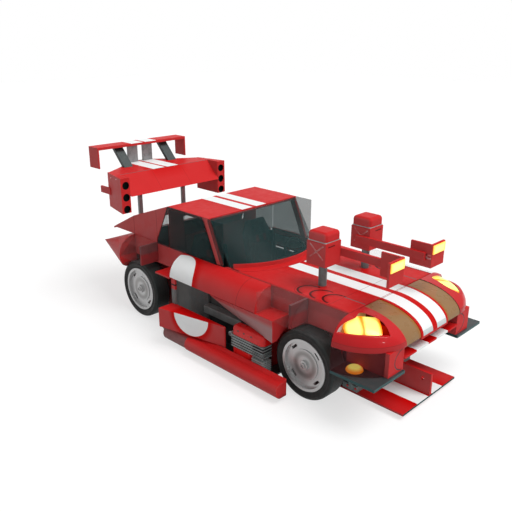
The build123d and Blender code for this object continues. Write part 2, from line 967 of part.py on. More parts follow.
def cowl_curve(x, reach, half, z0, z1):
    """A half-ellipse plan shape ahead of a line across the car, given its height."""
    face = make_face(
        [
            EllipticalCenterArc((0, 0), reach, half, start_angle=-90, arc_size=180),
            Line((0, half), (0, -half)),
        ]
    )
    return extrude(Pos(x, 0, z0) * face, amount=z1 - z0, dir=(0, 0, 1))


def cowl():
    """The panel at the foot of the windscreen, with its raised rim."""
    z0 = belt_z - bonnet_thickness
    reach = cowl_foot_x - cowl_side_x
    width = body_half + moving_gap
    shape = cowl_curve(cowl_side_x, reach, width, z0, belt_z)
    shape &= box(cowl_side_x, cowl_foot_x, -panel_inner_y, panel_inner_y, z0, belt_z)
    shape += box(vent_front_x + moving_gap, cowl_side_x, -panel_inner_y, panel_inner_y, z0, belt_z)
    tab_y = bonnet_half - bonnet_tab - moving_gap
    notch_x = bonnet_pin_x - bonnet_tab_height
    for side in (-1, 1):
        shape -= box(notch_x, cowl_foot_x, side * tab_y, side * (panel_inner_y + 1), z0 - 1,
                     belt_z + 1)
    clear_x = windscreen_foot_thickness + seat_gap
    strip = foot_strip(belt_z, windscreen_side_x + clear_x, windscreen_foot_x + clear_x,
                       windscreen_half, cowl_rim_width)
    rim_strip = extrude(strip, amount=cowl_rim_height, dir=(0, 0, 1))
    rim_strip &= box(windscreen_side_x, cowl_foot_x, -tab_y, tab_y, belt_z,
                     belt_z + cowl_rim_height)
    edge = ThreePointArc(
        Vector(windscreen_side_x - cowl_ledge, -panel_inner_y, z0 - 1),
        Vector(windscreen_foot_x - cowl_ledge, 0, z0 - 1),
        Vector(windscreen_side_x - cowl_ledge, panel_inner_y, z0 - 1),
    )
    back = Polyline([edge @ 1, Vector(0, panel_inner_y, z0 - 1), Vector(0, -panel_inner_y, z0 - 1),
                     edge @ 0])
    behind = extrude(make_face([edge, back]), amount=bonnet_thickness + 2, dir=(0, 0, 1))
    return (shape - behind) + rim_strip


# ---------------------------------------------------------------- bonnet and towers
def bonnet():
    """The flat bonnet with side flanges and the tabs that turn on the pins."""
    z0 = belt_z - bonnet_thickness
    x1 = hood_front_x - moving_gap
    reach = cowl_foot_x - cowl_side_x + seam_gap
    width = body_half + moving_gap + seam_gap
    lid = box(cowl_side_x + 1, x1, -bonnet_half, bonnet_half, z0, belt_z)
    lid -= cowl_curve(cowl_side_x, reach, width, z0 - 1, belt_z + 1)
    pin_z = belt_z - bonnet_pin_drop
    for side in (-1, 1):
        y0 = side * (bonnet_half - bonnet_tab)
        y1 = side * bonnet_half
        tab = box(bonnet_pin_x, cowl_foot_x, y0, y1, pin_z - bonnet_tab_height / 2, z0 + 1)
        tab += cross_cylinder(bonnet_pin_x, y0, y1, pin_z, bonnet_tab_height / 2)
        bore = cross_cylinder(bonnet_pin_x, y0 - side, y1 + side, pin_z,
                              bonnet_pin_radius + running_clearance)
        lid += tab - bore
    return lid


def tower_posts():
    return both_sides(
        upright_cylinder(tower_x, tower_y, belt_z, tower_box_z, tower_post_radius),
        upright_cylinder(tower_x, tower_y, tower_box_z + tower_box,
                         tower_box_z + tower_box + cap_ring_height, cap_ring_radius),
    )


def tower_heads():
    """The box on each post and the rounded cap above it."""
    half = tower_box / 2
    top = tower_box_z + tower_box
    head = box(tower_x - half, tower_x + half, tower_y - half, tower_y + half, tower_box_z, top)
    low = top + cap_ring_height
    side = cap_side / 2
    cap = box(tower_x - side, tower_x + side, tower_y - side, tower_y + side, low,
              low + cap_height)
    cap = fillet(cap.edges().group_by(Axis.Z)[-1] + cap.edges().filter_by(Axis.Z), cap_round)
    return both_sides(head, cap)


def boom():
    """The arm from each box's inner side out to the corner lamp ahead."""
    y1 = tower_y - tower_box / 2
    return box(boom_rear_x, boom_front_x, y1 - boom_width, y1, boom_low_z,
               boom_low_z + boom_height)


def corner_lamp():
    """The two thin walls of a corner lamp: one along the car and one across its front."""
    y0 = tower_y - tower_box / 2
    y1 = tower_y + tower_box / 2
    z0 = tower_box_z
    z1 = tower_box_z + tower_box
    along = box(lamp_rear_x, lamp_front_x, y0, y0 + lamp_wall, z0, z1)
    return along + box(lamp_front_x - lamp_wall, lamp_front_x, y0, y1, z0, z1)


def lamp_lens():
    """The lit plate across the upper part of the lamp's front."""
    y0 = tower_y - tower_box / 2
    y1 = tower_y + tower_box / 2
    return box(lamp_front_x, lamp_front_x + lens_plate, y0 + lens_plate, y1 - lens_plate,
               lens_share_z, tower_box_z + tower_box - lens_plate)


# ---------------------------------------------------------------- nose
def nose_profile(reach, rise):
    """A quarter ellipse from the bonnet's front edge down to the waist line."""
    plane = Plane(origin=(hood_front_x, 0, waist_z), x_dir=(1, 0, 0), z_dir=(0, -1, 0))
    arc = EllipticalCenterArc((0, 0), reach, rise, start_angle=0, arc_size=90)
    face = make_face([arc, Line((0, rise), (0, 0)), Line((0, 0), (reach, 0))])
    return plane * face


def nose_slice(reach, rise, y0, y1):
    return extrude(Pos(0, y0, 0) * nose_profile(reach, rise), amount=y1 - y0, dir=(0, 1, 0))


def nose_band():
    """The curved middle of the nose on its ribs, and the wall that carries the nose."""
    band = nose_slice(nose_reach, nose_rise, -band_half, band_half)
    band -= nose_slice(nose_reach - nose_skin, nose_rise - nose_skin, -band_half - 1,
                       band_half + 1)
    wall_outline = [
        (-well_wall_y + panel, sill_low_z),
        (well_wall_y - panel, sill_low_z),
        (well_wall_y - panel, waist_z - plate),
        (pod_inner_y, waist_z - plate),
        (pod_inner_y, belt_z - 2 * nose_skin),
        (-pod_inner_y, belt_z - 2 * nose_skin),
        (-pod_inner_y, waist_z - plate),
        (-well_wall_y + panel, waist_z - plate),
    ]
    wall = cross_prism(wall_outline, hood_front_x - plate, hood_front_x)
    return band, wall


def nose_lens():
    """The amber panel between the nose's middle and the headlamp pod."""
    reach = nose_reach - lens_drop
    rise = nose_rise - lens_drop
    outer = nose_slice(reach, rise, band_half, pod_inner_y)
    return outer - nose_slice(reach - lens_thickness, rise - lens_thickness, band_half - 1,
                              pod_inner_y + 1)


def pod_section(angle, inset):
    """The pod's cross-section, shrunk towards the inner edge as it runs forward."""
    scale = cos(radians(angle))
    x = hood_front_x + (nose_reach - inset) * sin(radians(angle))
    flat = (box_outer_y - pod_inner_y) * scale
    radius = (shoulder_y - box_outer_y - inset) * scale
    width = flat + radius
    height = (nose_rise - inset) * scale
    mid = radius * sqrt(0.5)
    corner = Vector(x, pod_inner_y, waist_z)
    crown = Vector(x, pod_inner_y + flat, waist_z + height)
    turn = Vector(x, pod_inner_y + flat + mid, waist_z + height * sqrt(0.5))
    foot = Vector(x, pod_inner_y + width, waist_z)
    top = Vector(x, pod_inner_y, waist_z + height)
    return make_face([Polyline([foot, corner, top, crown]), ThreePointArc(crown, turn, foot)])


def pod_room(inset):
    """The space inside a pod, moved in from its skin by an inset."""
    room = loft([pod_section(a, inset) for a in pod_section_angles])
    return room & box(hood_front_x + inset, nose_front_x, pod_inner_y + inset, shoulder_y,
                      waist_z - 1, belt_z)


def corner_plane():
    """The upright plane that faces out over a pod's outer front corner."""
    return Plane(origin=(0, 0, 0), x_dir=(1, -1, 0), z_dir=(-1, -1, 0))


def lamp_window():
    """The eye-shaped window over the twin lamps, as a bar through the pod's skin."""
    rear = (lamp_window_rear, lamp_window_corner_z)
    front = (lamp_window_front, lamp_window_corner_z)
    middle = (lamp_window_rear + lamp_window_front) / 2
    rear_top = (lamp_window_rear + 2 * lamp_window_shoulder, lamp_window_top_z)
    front_top = (lamp_window_front - 2 * lamp_window_shoulder, lamp_window_top_z)
    rise = (lamp_window_corner_z + lamp_window_top_z) / 2
    rear_shoulder = (lamp_window_rear + lamp_window_shoulder / 2, rise)
    front_shoulder = (lamp_window_front - lamp_window_shoulder / 3, rise)
    upper = Spline(rear, rear_shoulder, rear_top, front_top, front_shoulder, front)
    lower = ThreePointArc(front, (middle, lamp_window_low_z), rear)
    window = extrude(corner_plane() * make_face([upper, lower]), amount=3 * headlamp_rear,
                     dir=(1, 1, 0))
    return window & box(hood_front_x + nose_skin, nose_front_x, box_outer_y - band_half,
                        shoulder_y, waist_z, belt_z + 1)


def nose_pod():
    """The rounded shell over each headlamp, with a window for the lamps."""
    outer = loft([pod_section(a, 0) for a in pod_section_angles])
    return outer - pod_room(nose_skin) - lamp_window()


def nose_box():
    """The square box below each pod."""
    return box(hood_front_x, nose_front_x - nose_skin, pod_inner_y, box_outer_y, sill_low_z,
               waist_z)


def lip_plates():
    """The shelf under the nose's middle, and the lip that spans the boxes below it."""
    shelf = box(hood_front_x, nose_front_x, -band_half, band_half, waist_z - lip_thickness,
                waist_z)
    lip_half = pod_inner_y - seat_gap
    lip_top = waist_z - lip_drop
    lip = box(hood_front_x, nose_front_x - lip_setback, -lip_half, lip_half,
              lip_top - lip_thickness, lip_top)
    return shelf, lip


def canard():
    """The flat plate below each box, with its outer end swept back."""
    z1 = sill_low_z
    outline = [
        (hood_front_x, pod_inner_y),
        (nose_front_x, pod_inner_y),
        (nose_front_x, box_outer_y),
        (nose_front_x, shoulder_y),
        (hood_front_x, shoulder_y),
    ]
    return plan_prism(outline, z1 - canard_thickness, z1)


def headlamps():
    """Twin round headlamps inside each pod, and the fog lamp on each plate."""
    face = corner_plane() * Pos(0, 0, -headlamp_rear)
    inner_place = headlamp_place + headlamp_spacing
    foot = Pos(inner_place, (waist_z + headlamp_z) / 2) * Rectangle(headlamp_foot,
                                                                 headlamp_z - waist_z)
    twin = extrude(face * foot, amount=headlamp_foot, dir=(1, 1, 0))
    for place in (headlamp_place, inner_place):
        barrel = Pos(place, headlamp_z) * Circle(headlamp_radius)
        twin += extrude(face * barrel, amount=headlamp_rear, dir=(1, 1, 0))
    twin &= pod_room(nose_skin + headlamp_clearance) + box(
        hood_front_x, nose_front_x - nose_skin, pod_inner_y, box_outer_y, waist_z,
        waist_z + headlamp_clearance)
    fog = upright_cylinder(fog_x, fog_y, sill_low_z, sill_low_z + fog_height, fog_radius)
    return both_sides(twin, fog)


def splitter():
    """The flat plate ahead of the wheels, with its fin and the two stays."""
    top = floor_z
    low = floor_z - splitter_thickness
    front_x = nose_front_x + splitter_reach
    blade = box(splitter_rear_x, front_x, -splitter_half, splitter_half, low, top)
    fin = box(fin_rear_x, front_x, -fin_thickness / 2, fin_thickness / 2, top - 1,
              top + fin_height)
    fin -= cross_cylinder(nose_front_x - tow_hole_inset, -fin_thickness, fin_thickness,
                          top + fin_height - tow_hole_inset, tow_hole_radius)
    return blade + fin


def splitter_stay():
    """The block on each side of the splitter, and the leg that hangs it from the nose."""
    block = box(stay_rear_x, stay_front_x, splitter_half - stay_depth, splitter_half, floor_z,
                floor_z + stay_height)
    x0 = (stay_rear_x + stay_front_x - hanger_width) / 2
    return block + box(x0, x0 + hanger_width, splitter_half - panel, well_wall_y - panel,
                       floor_z, sill_low_z + hanger_width)


# ---------------------------------------------------------------- tail
def tail_deck():
    """The fastback deck, bent once, with a flat side panel under each edge."""
    t = deck_thickness
    x0 = roof_rear_x - seat_gap
    outline = [
        (x0, roof_z),
        (tail_base_x, knee_z),
        (deck_tail_x, belt_z),
        (deck_tail_x, belt_z - t),
        (tail_base_x, knee_z - t),
        (x0, roof_z - t),
    ]
    deck = side_prism(outline, -body_half, body_half)
    side_outline = [
        (x0, roof_z),
        (tail_base_x, knee_z),
        (deck_tail_x, belt_z),
        (deck_foot_x, belt_z),
        (quarter_foot_x, belt_z),
        (quarter_foot_x, quarter_foot_z),
    ]
    panel_side = side_prism(side_outline, panel_inner_y, body_half)
    return deck + panel_side + mirrored(panel_side)


def tail_half(radius, tip_inset, front):
    """One side's half cone, from its round base to its point."""
    length = front - (tail_tip_x + tip_inset)
    cone = Cone(radius, 0.5, length)
    placed = Pos(front - length / 2, door_inner_y, waist_z) * Rot(0, -90, 0) * cone
    keep = box(tail_tip_x - 1, front + 1, door_inner_y, shoulder_y + 1, sill_low_z - 1, belt_z + 1)
    return placed & keep


def tail_wedge(half, drop, tip_inset, front):
    """The middle of the tail: a wedge that closes to an edge at the rear."""
    rise = belt_z - waist_z - drop
    outline = [(front, waist_z + rise), (tail_tip_x + tip_inset, waist_z), (front, waist_z - rise)]
    return side_prism(outline, -half, half)


def tail_lower():
    """The pointed lower tail: a wedge with a half cone along each side, open in front."""
    front = tail_base_x
    cone = tail_half(shoulder_radius, 0, front)
    outer = tail_wedge(door_inner_y, 0, 0, front) + cone + mirrored(cone)
    inner = tail_wedge(door_inner_y - panel, plate, 3 * plate, front + 1)
    arch = cross_cylinder(rear_axle_x, wheel_y - tyre_width / 2 - arch_clearance * 2,
                          shoulder_y + 1, tyre_radius, tyre_radius + 3 * arch_clearance)
    return outer - inner - arch - mirrored(arch)


# ---------------------------------------------------------------- wings
def wing_plan(inset):
    return [
        (wing_front_x - inset, wing_half - inset),
        (wing_corner_x, wing_half - inset),
        (wing_knuckle_x + inset, wing_knuckle_y),
        (wing_tail_x + inset, wing_tail_half),
        (wing_tail_x + inset, -wing_tail_half),
        (wing_knuckle_x + inset, -wing_knuckle_y),
        (wing_corner_x, inset - wing_half),
        (wing_front_x - inset, inset - wing_half),
    ]


def wing_lower():
    """The deep lower wing with a sloped front, hollow from below."""
    wing = plan_prism(wing_plan(0), wing_low_z, wing_crest_z)
    wing -= side_prism(
        [
            (wing_front_x + 1, wing_low_z),
            (wing_front_x + 1, wing_crest_z + 1),
            (wing_crest_x, wing_crest_z + 1),
            (wing_crest_x, wing_crest_z),
            (wing_front_x, wing_low_z),
        ],
        -wing_half - 1,
        wing_half + 1,
    )
    hollow = plan_prism(wing_plan(wing_skin), wing_low_z - 1, wing_crest_z - wing_skin)
    cut_x = wing_front_x - 2 * wing_skin
    hollow -= side_prism(
        [
            (wing_front_x, wing_low_z - 1),
            (wing_front_x, wing_crest_z),
            (wing_crest_x - 2 * wing_skin, wing_crest_z),
            (cut_x, wing_low_z - 1),
        ],
        -wing_half,
        wing_half,
    )
    rib_low = wing_low_z
    ribs = box(wing_post_x - 2 * wing_post_radius, wing_post_x + 2 * wing_post_radius,
               wing_post_y - collar_radius, wing_post_y + collar_radius, rib_low,
               wing_crest_z - 1)
    return wing - hollow + ribs + mirrored(ribs)


def wing_end_box():
    """The box on each end of the lower wing, with three round outlets in front."""
    y0 = wing_half
    rear_y = wing_half + end_box_rear_width
    front_y = wing_half + end_box_front_width
    outline = [(wing_corner_x, y0), (end_box_front_x, y0), (end_box_front_x, front_y),
               (wing_corner_x, rear_y)]
    shell = plan_prism(outline, end_box_low_z, wing_crest_z)
    for i in range(3):
        z = wing_crest_z - end_hole_radius * 2 - i * end_hole_pitch
        shell -= along_cylinder(end_box_front_x - end_hole_depth, end_box_front_x + 1, end_hole_y,
                                z, end_hole_radius)
    shell += box(rear_bar_rear_x, wing_corner_x + rear_bar_root, end_hole_y - rear_bar_width,
                 end_hole_y, rear_bar_low_z, rear_bar_low_z + rear_bar_height)
    return shell


def deck_height(x):
    """The deck's top at a place behind its bend."""
    share = (x - deck_tail_x) / (tail_base_x - deck_tail_x)
    return belt_z + share * (knee_z - belt_z)


def wing_post():
    """A round post from the deck to the lower wing, with a collar at its foot."""
    x = wing_post_x
    low = deck_height(x - collar_radius) - deck_thickness
    post = upright_cylinder(x, wing_post_y, low, wing_low_z, wing_post_radius)
    collar = upright_cylinder(x, wing_post_y, low, deck_height(x) + collar_height, collar_radius)
    under = side_prism(
        [
            (tail_base_x, knee_z),
            (deck_tail_x, belt_z),
            (deck_tail_x, waist_z),
            (tail_base_x, waist_z),
        ],
        0,
        wing_half,
    )
    return (post + collar) - under


def wing_strut():
    """The raked strut from the lower wing's top to the upper wing."""
    top_x = (upper_wing_front_x + upper_wing_rear_x) / 2
    outline = [
        (strut_foot_x - strut_depth / 2, wing_crest_z),
        (strut_foot_x + strut_depth / 2, wing_crest_z),
        (top_x + strut_depth / 2, upper_wing_z),
        (top_x - strut_depth / 2, upper_wing_z),
    ]
    y0 = wing_post_y - strut_width / 2
    return side_prism(outline, y0, y0 + strut_width)


def wing_upright():
    """The upright plate in the middle that also carries the upper wing."""
    x = (upper_wing_front_x + upper_wing_rear_x) / 2
    return box(x - upright_plate / 2, x + upright_plate / 2, upright_inner_y, upright_outer_y,
               wing_crest_z, upper_wing_z)


def wing_upper():
    """The flat upper wing with a plate hanging from each end."""
    z1 = upper_wing_z + upper_wing_thickness
    blade = box(upper_wing_rear_x, upper_wing_front_x, -wing_half, wing_half, upper_wing_z, z1)
    end = box(upper_wing_rear_x, upper_wing_front_x, wing_half - end_plate, wing_half,
              wing_crest_z, z1)
    return blade + end + mirrored(end)


# ---------------------------------------------------------------- cabin and drivetrain
def seat():
    """A high-backed bucket seat."""
    z0 = tub_floor_z
    cushion = box(seat_x, seat_x + seat_length, seat_y - seat_half, seat_y + seat_half, z0,
                  z0 + seat_height)
    cushion = fillet(cushion.edges().filter_by(Axis.Z), seat_round)
    back = side_prism(
        [
            (seat_x, z0 + seat_height / 2),
            (seat_x + seat_back_depth, z0 + seat_height / 2),
            (seat_x + seat_back_depth - seat_back_lean, seat_back_top_z),
            (seat_x - seat_back_lean, seat_back_top_z),
        ],
        seat_y - seat_half,
        seat_y + seat_half,
    )
    return cushion + back


def dashboard():
    """The dashboard below the windscreen, with the steering wheel on its column."""
    z1 = belt_z - bonnet_thickness
    board = box(dash_rear_x, firewall_x, -dash_half, dash_half, z1 - dash_height, z1)
    board = fillet(board.edges().group_by(Axis.X)[0].filter_by(Axis.Y), dash_height / 4)
    ring = Pos(wheel_ring_x, seat_y, wheel_ring_z) * Rot(0, 70, 0) * Torus(wheel_ring_radius,
                                                                         wheel_ring_tube)
    spoke = Pos(wheel_ring_x, seat_y, wheel_ring_z) * Rot(0, 70, 0) * Box(
        wheel_ring_tube * 2, wheel_ring_radius * 2, wheel_ring_tube)
    column = Pos(wheel_ring_x, seat_y, wheel_ring_z) * Rot(0, 70, 0) * Pos(
        0, 0, (dash_rear_x - wheel_ring_x) / 2 + 10) * Cylinder(column_radius,
                                                                dash_rear_x - wheel_ring_x + 30)
    return [board + ring + spoke + column]


def drivetrain():
    """The engine and the fuel tank, each as one plain block at its real place."""
    engine = box(engine_rear_x, engine_front_x, -engine_half, engine_half,
                 tub_floor_z + engine_mount, engine_top_z)
    mounts = [
        box(x, x + 120, y, y + 80, tub_floor_z, tub_floor_z + engine_mount + 1)
        for x in (engine_rear_x + 60, engine_front_x - 180)
        for y in (-engine_half + 40, engine_half - 120)
    ]
    for mount in mounts:
        engine += mount
    tank = box(tank_rear_x, tank_front_x, -tank_half, tank_half, tub_floor_z, tank_top_z)
    return [engine, tank]


# ---------------------------------------------------------------- write the nodes
wheels()
knuckle_left = knuckle()
save("knuckle_left", knuckle_left)
save("knuckle_right", mirrored(knuckle_left))
save("suspension", *suspension())
save("floor_pan", floor_pan())
save("bulkheads", *bulkheads())
save("front_sides", *both_sides(front_side()))
save("rear_sides", *both_sides(rear_side()))
save("side_pods", *both_sides(side_pod()))
save("skirts", *both_sides(*skirt(), skirt_carrier()))
save("intake_blocks", *both_sides(intake_block(), side_post()))
save("side_exhausts", *both_sides(side_exhaust(), vent_panel()))
save("side_units", *both_sides(side_unit(), radiator()))
save("unit_covers", *both_sides(unit_cap(), unit_foot()))
arch_box_rear_x = door_front_x + arch_box_rear_gap
save("arch_boxes", *both_sides(arch_box(arch_box_rear_x, front_plate_x - arch_plate),
                               arch_box(tail_base_x, rear_plate_x - arch_plate)))
save("fender_covers", *both_sides(fender_cover()))
save("nose_covers", *both_sides(nose_cover()))
save("arch_plates", *both_sides(arch_plate_at(front_plate_x), arch_plate_at(rear_plate_x)))
door_left = door()
save("door_left", door_left)
save("door_right", mirrored(door_left))
door_glass_left = door_glass()
save("door_glass_left", door_glass_left)
save("door_glass_right", mirrored(door_glass_left))
save("roof", roof())
save("fixed_panes", *fixed_panes())
save("windscreen", windscreen())
save("cowl", cowl())
save("bonnet", bonnet())
save("tower_posts", *tower_posts())
save("tower_heads", *tower_heads())
save("lamp_booms", *both_sides(boom() + corner_lamp()))
save("lamp_lenses", *both_sides(lamp_lens()))
save("nose_band", *nose_band())
save("lip_plate", *lip_plates())
save("nose_lenses", *both_sides(nose_lens()))
save("nose_pods", *both_sides(nose_pod()))
save("nose_boxes", *both_sides(nose_box()))
save("headlamps", *headlamps())
save("canards", *both_sides(canard()))
save("splitter", splitter())
save("splitter_stays", *both_sides(splitter_stay()))
save("tail_deck", tail_deck())
save("tail_lower", tail_lower())
save("wing_lower", wing_lower())
save("wing_end_boxes", *both_sides(wing_end_box()))
save("wing_posts", *both_sides(wing_post()))
save("wing_struts", *both_sides(wing_strut(), wing_upright()))
save("wing_upper", wing_upper())
save("seats", *both_sides(seat()))
save("dashboard", *dashboard())
save("drivetrain", *drivetrain())
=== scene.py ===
import math

import bmesh
import bpy
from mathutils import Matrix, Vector


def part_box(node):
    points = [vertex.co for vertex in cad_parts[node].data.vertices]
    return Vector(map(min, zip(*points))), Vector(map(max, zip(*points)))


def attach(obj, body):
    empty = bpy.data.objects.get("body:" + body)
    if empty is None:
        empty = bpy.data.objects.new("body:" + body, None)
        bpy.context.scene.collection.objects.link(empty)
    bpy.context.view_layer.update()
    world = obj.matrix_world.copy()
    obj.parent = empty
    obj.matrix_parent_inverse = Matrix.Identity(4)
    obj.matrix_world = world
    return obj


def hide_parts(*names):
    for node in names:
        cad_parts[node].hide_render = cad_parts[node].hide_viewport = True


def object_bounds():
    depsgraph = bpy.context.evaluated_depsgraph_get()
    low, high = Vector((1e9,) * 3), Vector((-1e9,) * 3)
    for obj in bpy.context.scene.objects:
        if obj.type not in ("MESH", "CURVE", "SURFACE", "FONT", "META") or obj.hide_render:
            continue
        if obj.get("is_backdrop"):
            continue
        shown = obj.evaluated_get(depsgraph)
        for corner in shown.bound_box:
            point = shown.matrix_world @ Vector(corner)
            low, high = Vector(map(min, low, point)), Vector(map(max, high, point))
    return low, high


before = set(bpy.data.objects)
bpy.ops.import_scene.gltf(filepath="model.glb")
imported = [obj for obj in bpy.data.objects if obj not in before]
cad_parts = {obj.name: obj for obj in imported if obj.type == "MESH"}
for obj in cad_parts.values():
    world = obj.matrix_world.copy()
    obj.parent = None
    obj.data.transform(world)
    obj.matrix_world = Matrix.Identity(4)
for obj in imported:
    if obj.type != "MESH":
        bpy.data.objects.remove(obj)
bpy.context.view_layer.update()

# ---- Camera --------------------------------------------------------------------------------------
# The camera stands ahead of the car on its right, a little above the roof. It looks back
# and down at the middle of the body.
camera_data = bpy.data.cameras.new("camera")
camera = bpy.data.objects.new("camera", camera_data)
scene = bpy.context.scene
scene.collection.objects.link(camera)
camera_data.lens = 43.39
camera_data.sensor_width = 36
camera.location = (4.603, -4.612, 3.172)
camera.rotation_euler = (math.radians(70.391), 0, math.radians(45.135))
scene.camera = camera

# ---- Studio floor and light ----------------------------------------------------------------------
# A plain white floor that runs out of sight, under a white sky. One broad soft lamp stands
# high ahead of the car and to its left, and a small low one ahead puts glints on the curves.
scene.view_settings.view_transform = "Standard"


def by_ray(tree, unseen, shown):
    """One number for rays that light the car, and another for those that show the studio."""
    rays = tree.nodes.new("ShaderNodeLightPath")
    share = rays.outputs["Is Camera Ray"]
    for kind in ("Is Transmission Ray", "Is Glossy Ray"):
        either = tree.nodes.new("ShaderNodeMath")
        either.operation = "MAXIMUM"
        tree.links.new(share, either.inputs[0])
        tree.links.new(rays.outputs[kind], either.inputs[1])
        share = either.outputs[0]
    level = tree.nodes.new("ShaderNodeMapRange")
    level.inputs["To Min"].default_value = unseen
    level.inputs["To Max"].default_value = shown
    tree.links.new(share, level.inputs["Value"])
    return level.outputs[0]


world = bpy.data.worlds.new("studio")
scene.world = world
world.use_nodes = True
sky = world.node_tree
sky.nodes["Background"].inputs["Color"].default_value = (1, 1, 1, 1)
sky.links.new(by_ray(sky, 0.42, 1.0), sky.nodes["Background"].inputs["Strength"])

bpy.ops.mesh.primitive_plane_add(size=80, location=(0, 0, 0))
floor = bpy.context.object
floor.name = "studio_floor"
floor_paint = bpy.data.materials.new("studio_floor_paint")
floor_paint.use_nodes = True
paint_tree = floor_paint.node_tree
floor_shader = paint_tree.nodes["Principled BSDF"]
floor_shader.inputs["Roughness"].default_value = 0.9
floor_shader.inputs["Specular IOR Level"].default_value = 0.0
floor_shader.inputs["Emission Color"].default_value = (1, 1, 1, 1)
paint_tree.links.new(by_ray(paint_tree, 0.55, 0.40), floor_shader.inputs["Base Color"])
paint_tree.links.new(by_ray(paint_tree, 0.0, 0.64), floor_shader.inputs["Emission Strength"])
floor.data.materials.append(floor_paint)
floor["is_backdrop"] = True

for name, strength, spread, towards in (("key_lamp", 2.1, 38, (0.42, 0.20, 0.88)),
                                        ("glint_lamp", 0.25, 4, (0.93, -0.12, 0.34))):
    light = bpy.data.lights.new(name, "SUN")
    light.energy = strength
    light.angle = math.radians(spread)
    lamp = bpy.data.objects.new(name, light)
    scene.collection.objects.link(lamp)
    lamp.rotation_euler = Vector(towards).to_track_quat("Z", "Y").to_euler()


# ---- Floor pan and tunnel ------------------------------------------------------------------------
# The flat floor, the cabin's side walls and the tunnel are one dark composite moulding. Its
# woven skin shows as a fine check under a satin lacquer, dusty in patches.
class Finish:
    """A procedural finish on the piece's own coordinates, built up one layer at a time."""

    def __init__(self, name, colour, rough, metal=0.0, specular=0.3, coat=0.0):
        self.material = bpy.data.materials.new(name)
        self.material.use_nodes = True
        self.nodes = self.material.node_tree.nodes
        self.links = self.material.node_tree.links
        self.shader = self.nodes["Principled BSDF"]
        self.shader.inputs["Base Color"].default_value = (*colour, 1)
        self.shader.inputs["Roughness"].default_value = rough
        self.shader.inputs["Metallic"].default_value = metal
        self.shader.inputs["Specular IOR Level"].default_value = specular
        self.shader.inputs["Coat Weight"].default_value = coat
        self.shader.inputs["Coat Roughness"].default_value = 0.08
        self.colour = (*colour, 1)
        self.rough = rough
        self.height = None
        self.place = self.nodes.new("ShaderNodeTexCoord")
        self.split = self.nodes.new("ShaderNodeSeparateXYZ")
        self.links.new(self.place.outputs["Object"], self.split.inputs[0])

    def put(self, value, socket):
        """Sets a socket to a number or a colour, or links another socket to it."""
        if isinstance(value, bpy.types.NodeSocket):
            self.links.new(value, socket)
        else:
            socket.default_value = value

    def sum(self, kind, a, b=0.0):
        """One step of arithmetic on numbers or sockets."""
        node = self.nodes.new("ShaderNodeMath")
        node.operation = kind
        self.put(a, node.inputs[0])
        if kind not in ("ABSOLUTE", "SQRT", "SINE"):
            self.put(b, node.inputs[1])
        return node.outputs[0]

    def along(self, axis):
        """The place along X, Y or Z, in metres, or the distance out from the middle line."""
        if axis == "out":
            return self.sum("ABSOLUTE", self.along("Y"))
        return self.split.outputs["XYZ".index(axis)]

    def facing(self, axis):
        """How squarely the surface faces along one axis, from -1 to 1."""
        turned = self.nodes.new("ShaderNodeSeparateXYZ")
        self.links.new(self.place.outputs["Normal"], turned.inputs[0])
        return turned.outputs["XYZ".index(axis)]

    def ramp(self, value, start, end, low=0.0, high=1.0):
        """A share that climbs from low to high while the value goes from start to end."""
        node = self.nodes.new("ShaderNodeMapRange")
        self.put(value, node.inputs["Value"])
        node.inputs["From Min"].default_value = start
        node.inputs["From Max"].default_value = end
        node.inputs["To Min"].default_value = low
        node.inputs["To Max"].default_value = high
        return node.outputs[0]

    def within(self, value, low, high, blur=0.0015):
        """1 where the value lies between two limits, with a blurred edge outside them."""
        up = self.ramp(value, low - blur, low)
        down = self.ramp(value, high, high + blur, 1.0, 0.0)
        return self.sum("MULTIPLY", up, down)

    def fade(self, axis, start, end, low=0.0, high=1.0):
        """A share that climbs from low to high between two places along an axis."""
        return self.ramp(self.along(axis), start, end, low, high)

    def strip(self, axis, low, high, blur=0.0015):
        """1 between two places along an axis."""
        return self.within(self.along(axis), low, high, blur)

    def faces(self, axis, start, end, low=0.0, high=1.0):
        """A share that climbs as the surface turns to face up an axis."""
        return self.ramp(self.facing(axis), start, end, low, high)

    def flanks(self, axis, start, end, low=0.0, high=1.0):
        """A share that climbs as the surface turns to face up or down an axis."""
        return self.ramp(self.sum("ABSOLUTE", self.facing(axis)), start, end, low, high)

    def waves(self, value, rate):
        """A sine of the value, so many radians a metre."""
        return self.sum("SINE", self.sum("MULTIPLY", value, rate))

    def weave(self, first, second, rate):
        """The crossings of waves along two axes."""
        return self.both(self.waves(self.along(first), rate), self.waves(self.along(second), rate))

    def except_for(self, share):
        """What a share leaves over."""
        return self.sum("SUBTRACT", 1.0, share)

    def oval(self, across, up, centre, size):
        """The distance from an oval's centre, 1 on its rim."""
        a = self.sum("DIVIDE", self.sum("SUBTRACT", across, centre[0]), size[0])
        b = self.sum("DIVIDE", self.sum("SUBTRACT", up, centre[1]), size[1])
        return self.sum("SQRT", self.sum("ADD", self.sum("MULTIPLY", a, a),
                                         self.sum("MULTIPLY", b, b)))

    def both(self, first, *others):
        """1 where all the shares are 1."""
        for share in others:
            first = self.sum("MULTIPLY", first, share)
        return first

    def either(self, a, b):
        """The larger of two shares."""
        return self.sum("MAXIMUM", a, b)

    def grain(self, scale, detail=4.0, stretch=(1, 1, 1)):
        """A random grain with its size in metres, drawn out along an axis by the stretch."""
        mapping = self.nodes.new("ShaderNodeMapping")
        mapping.inputs["Scale"].default_value = stretch
        self.links.new(self.place.outputs["Object"], mapping.inputs["Vector"])
        node = self.nodes.new("ShaderNodeTexNoise")
        node.inputs["Scale"].default_value = 1 / scale
        node.inputs["Detail"].default_value = detail
        self.links.new(mapping.outputs[0], node.inputs["Vector"])
        return node.outputs["Fac"]

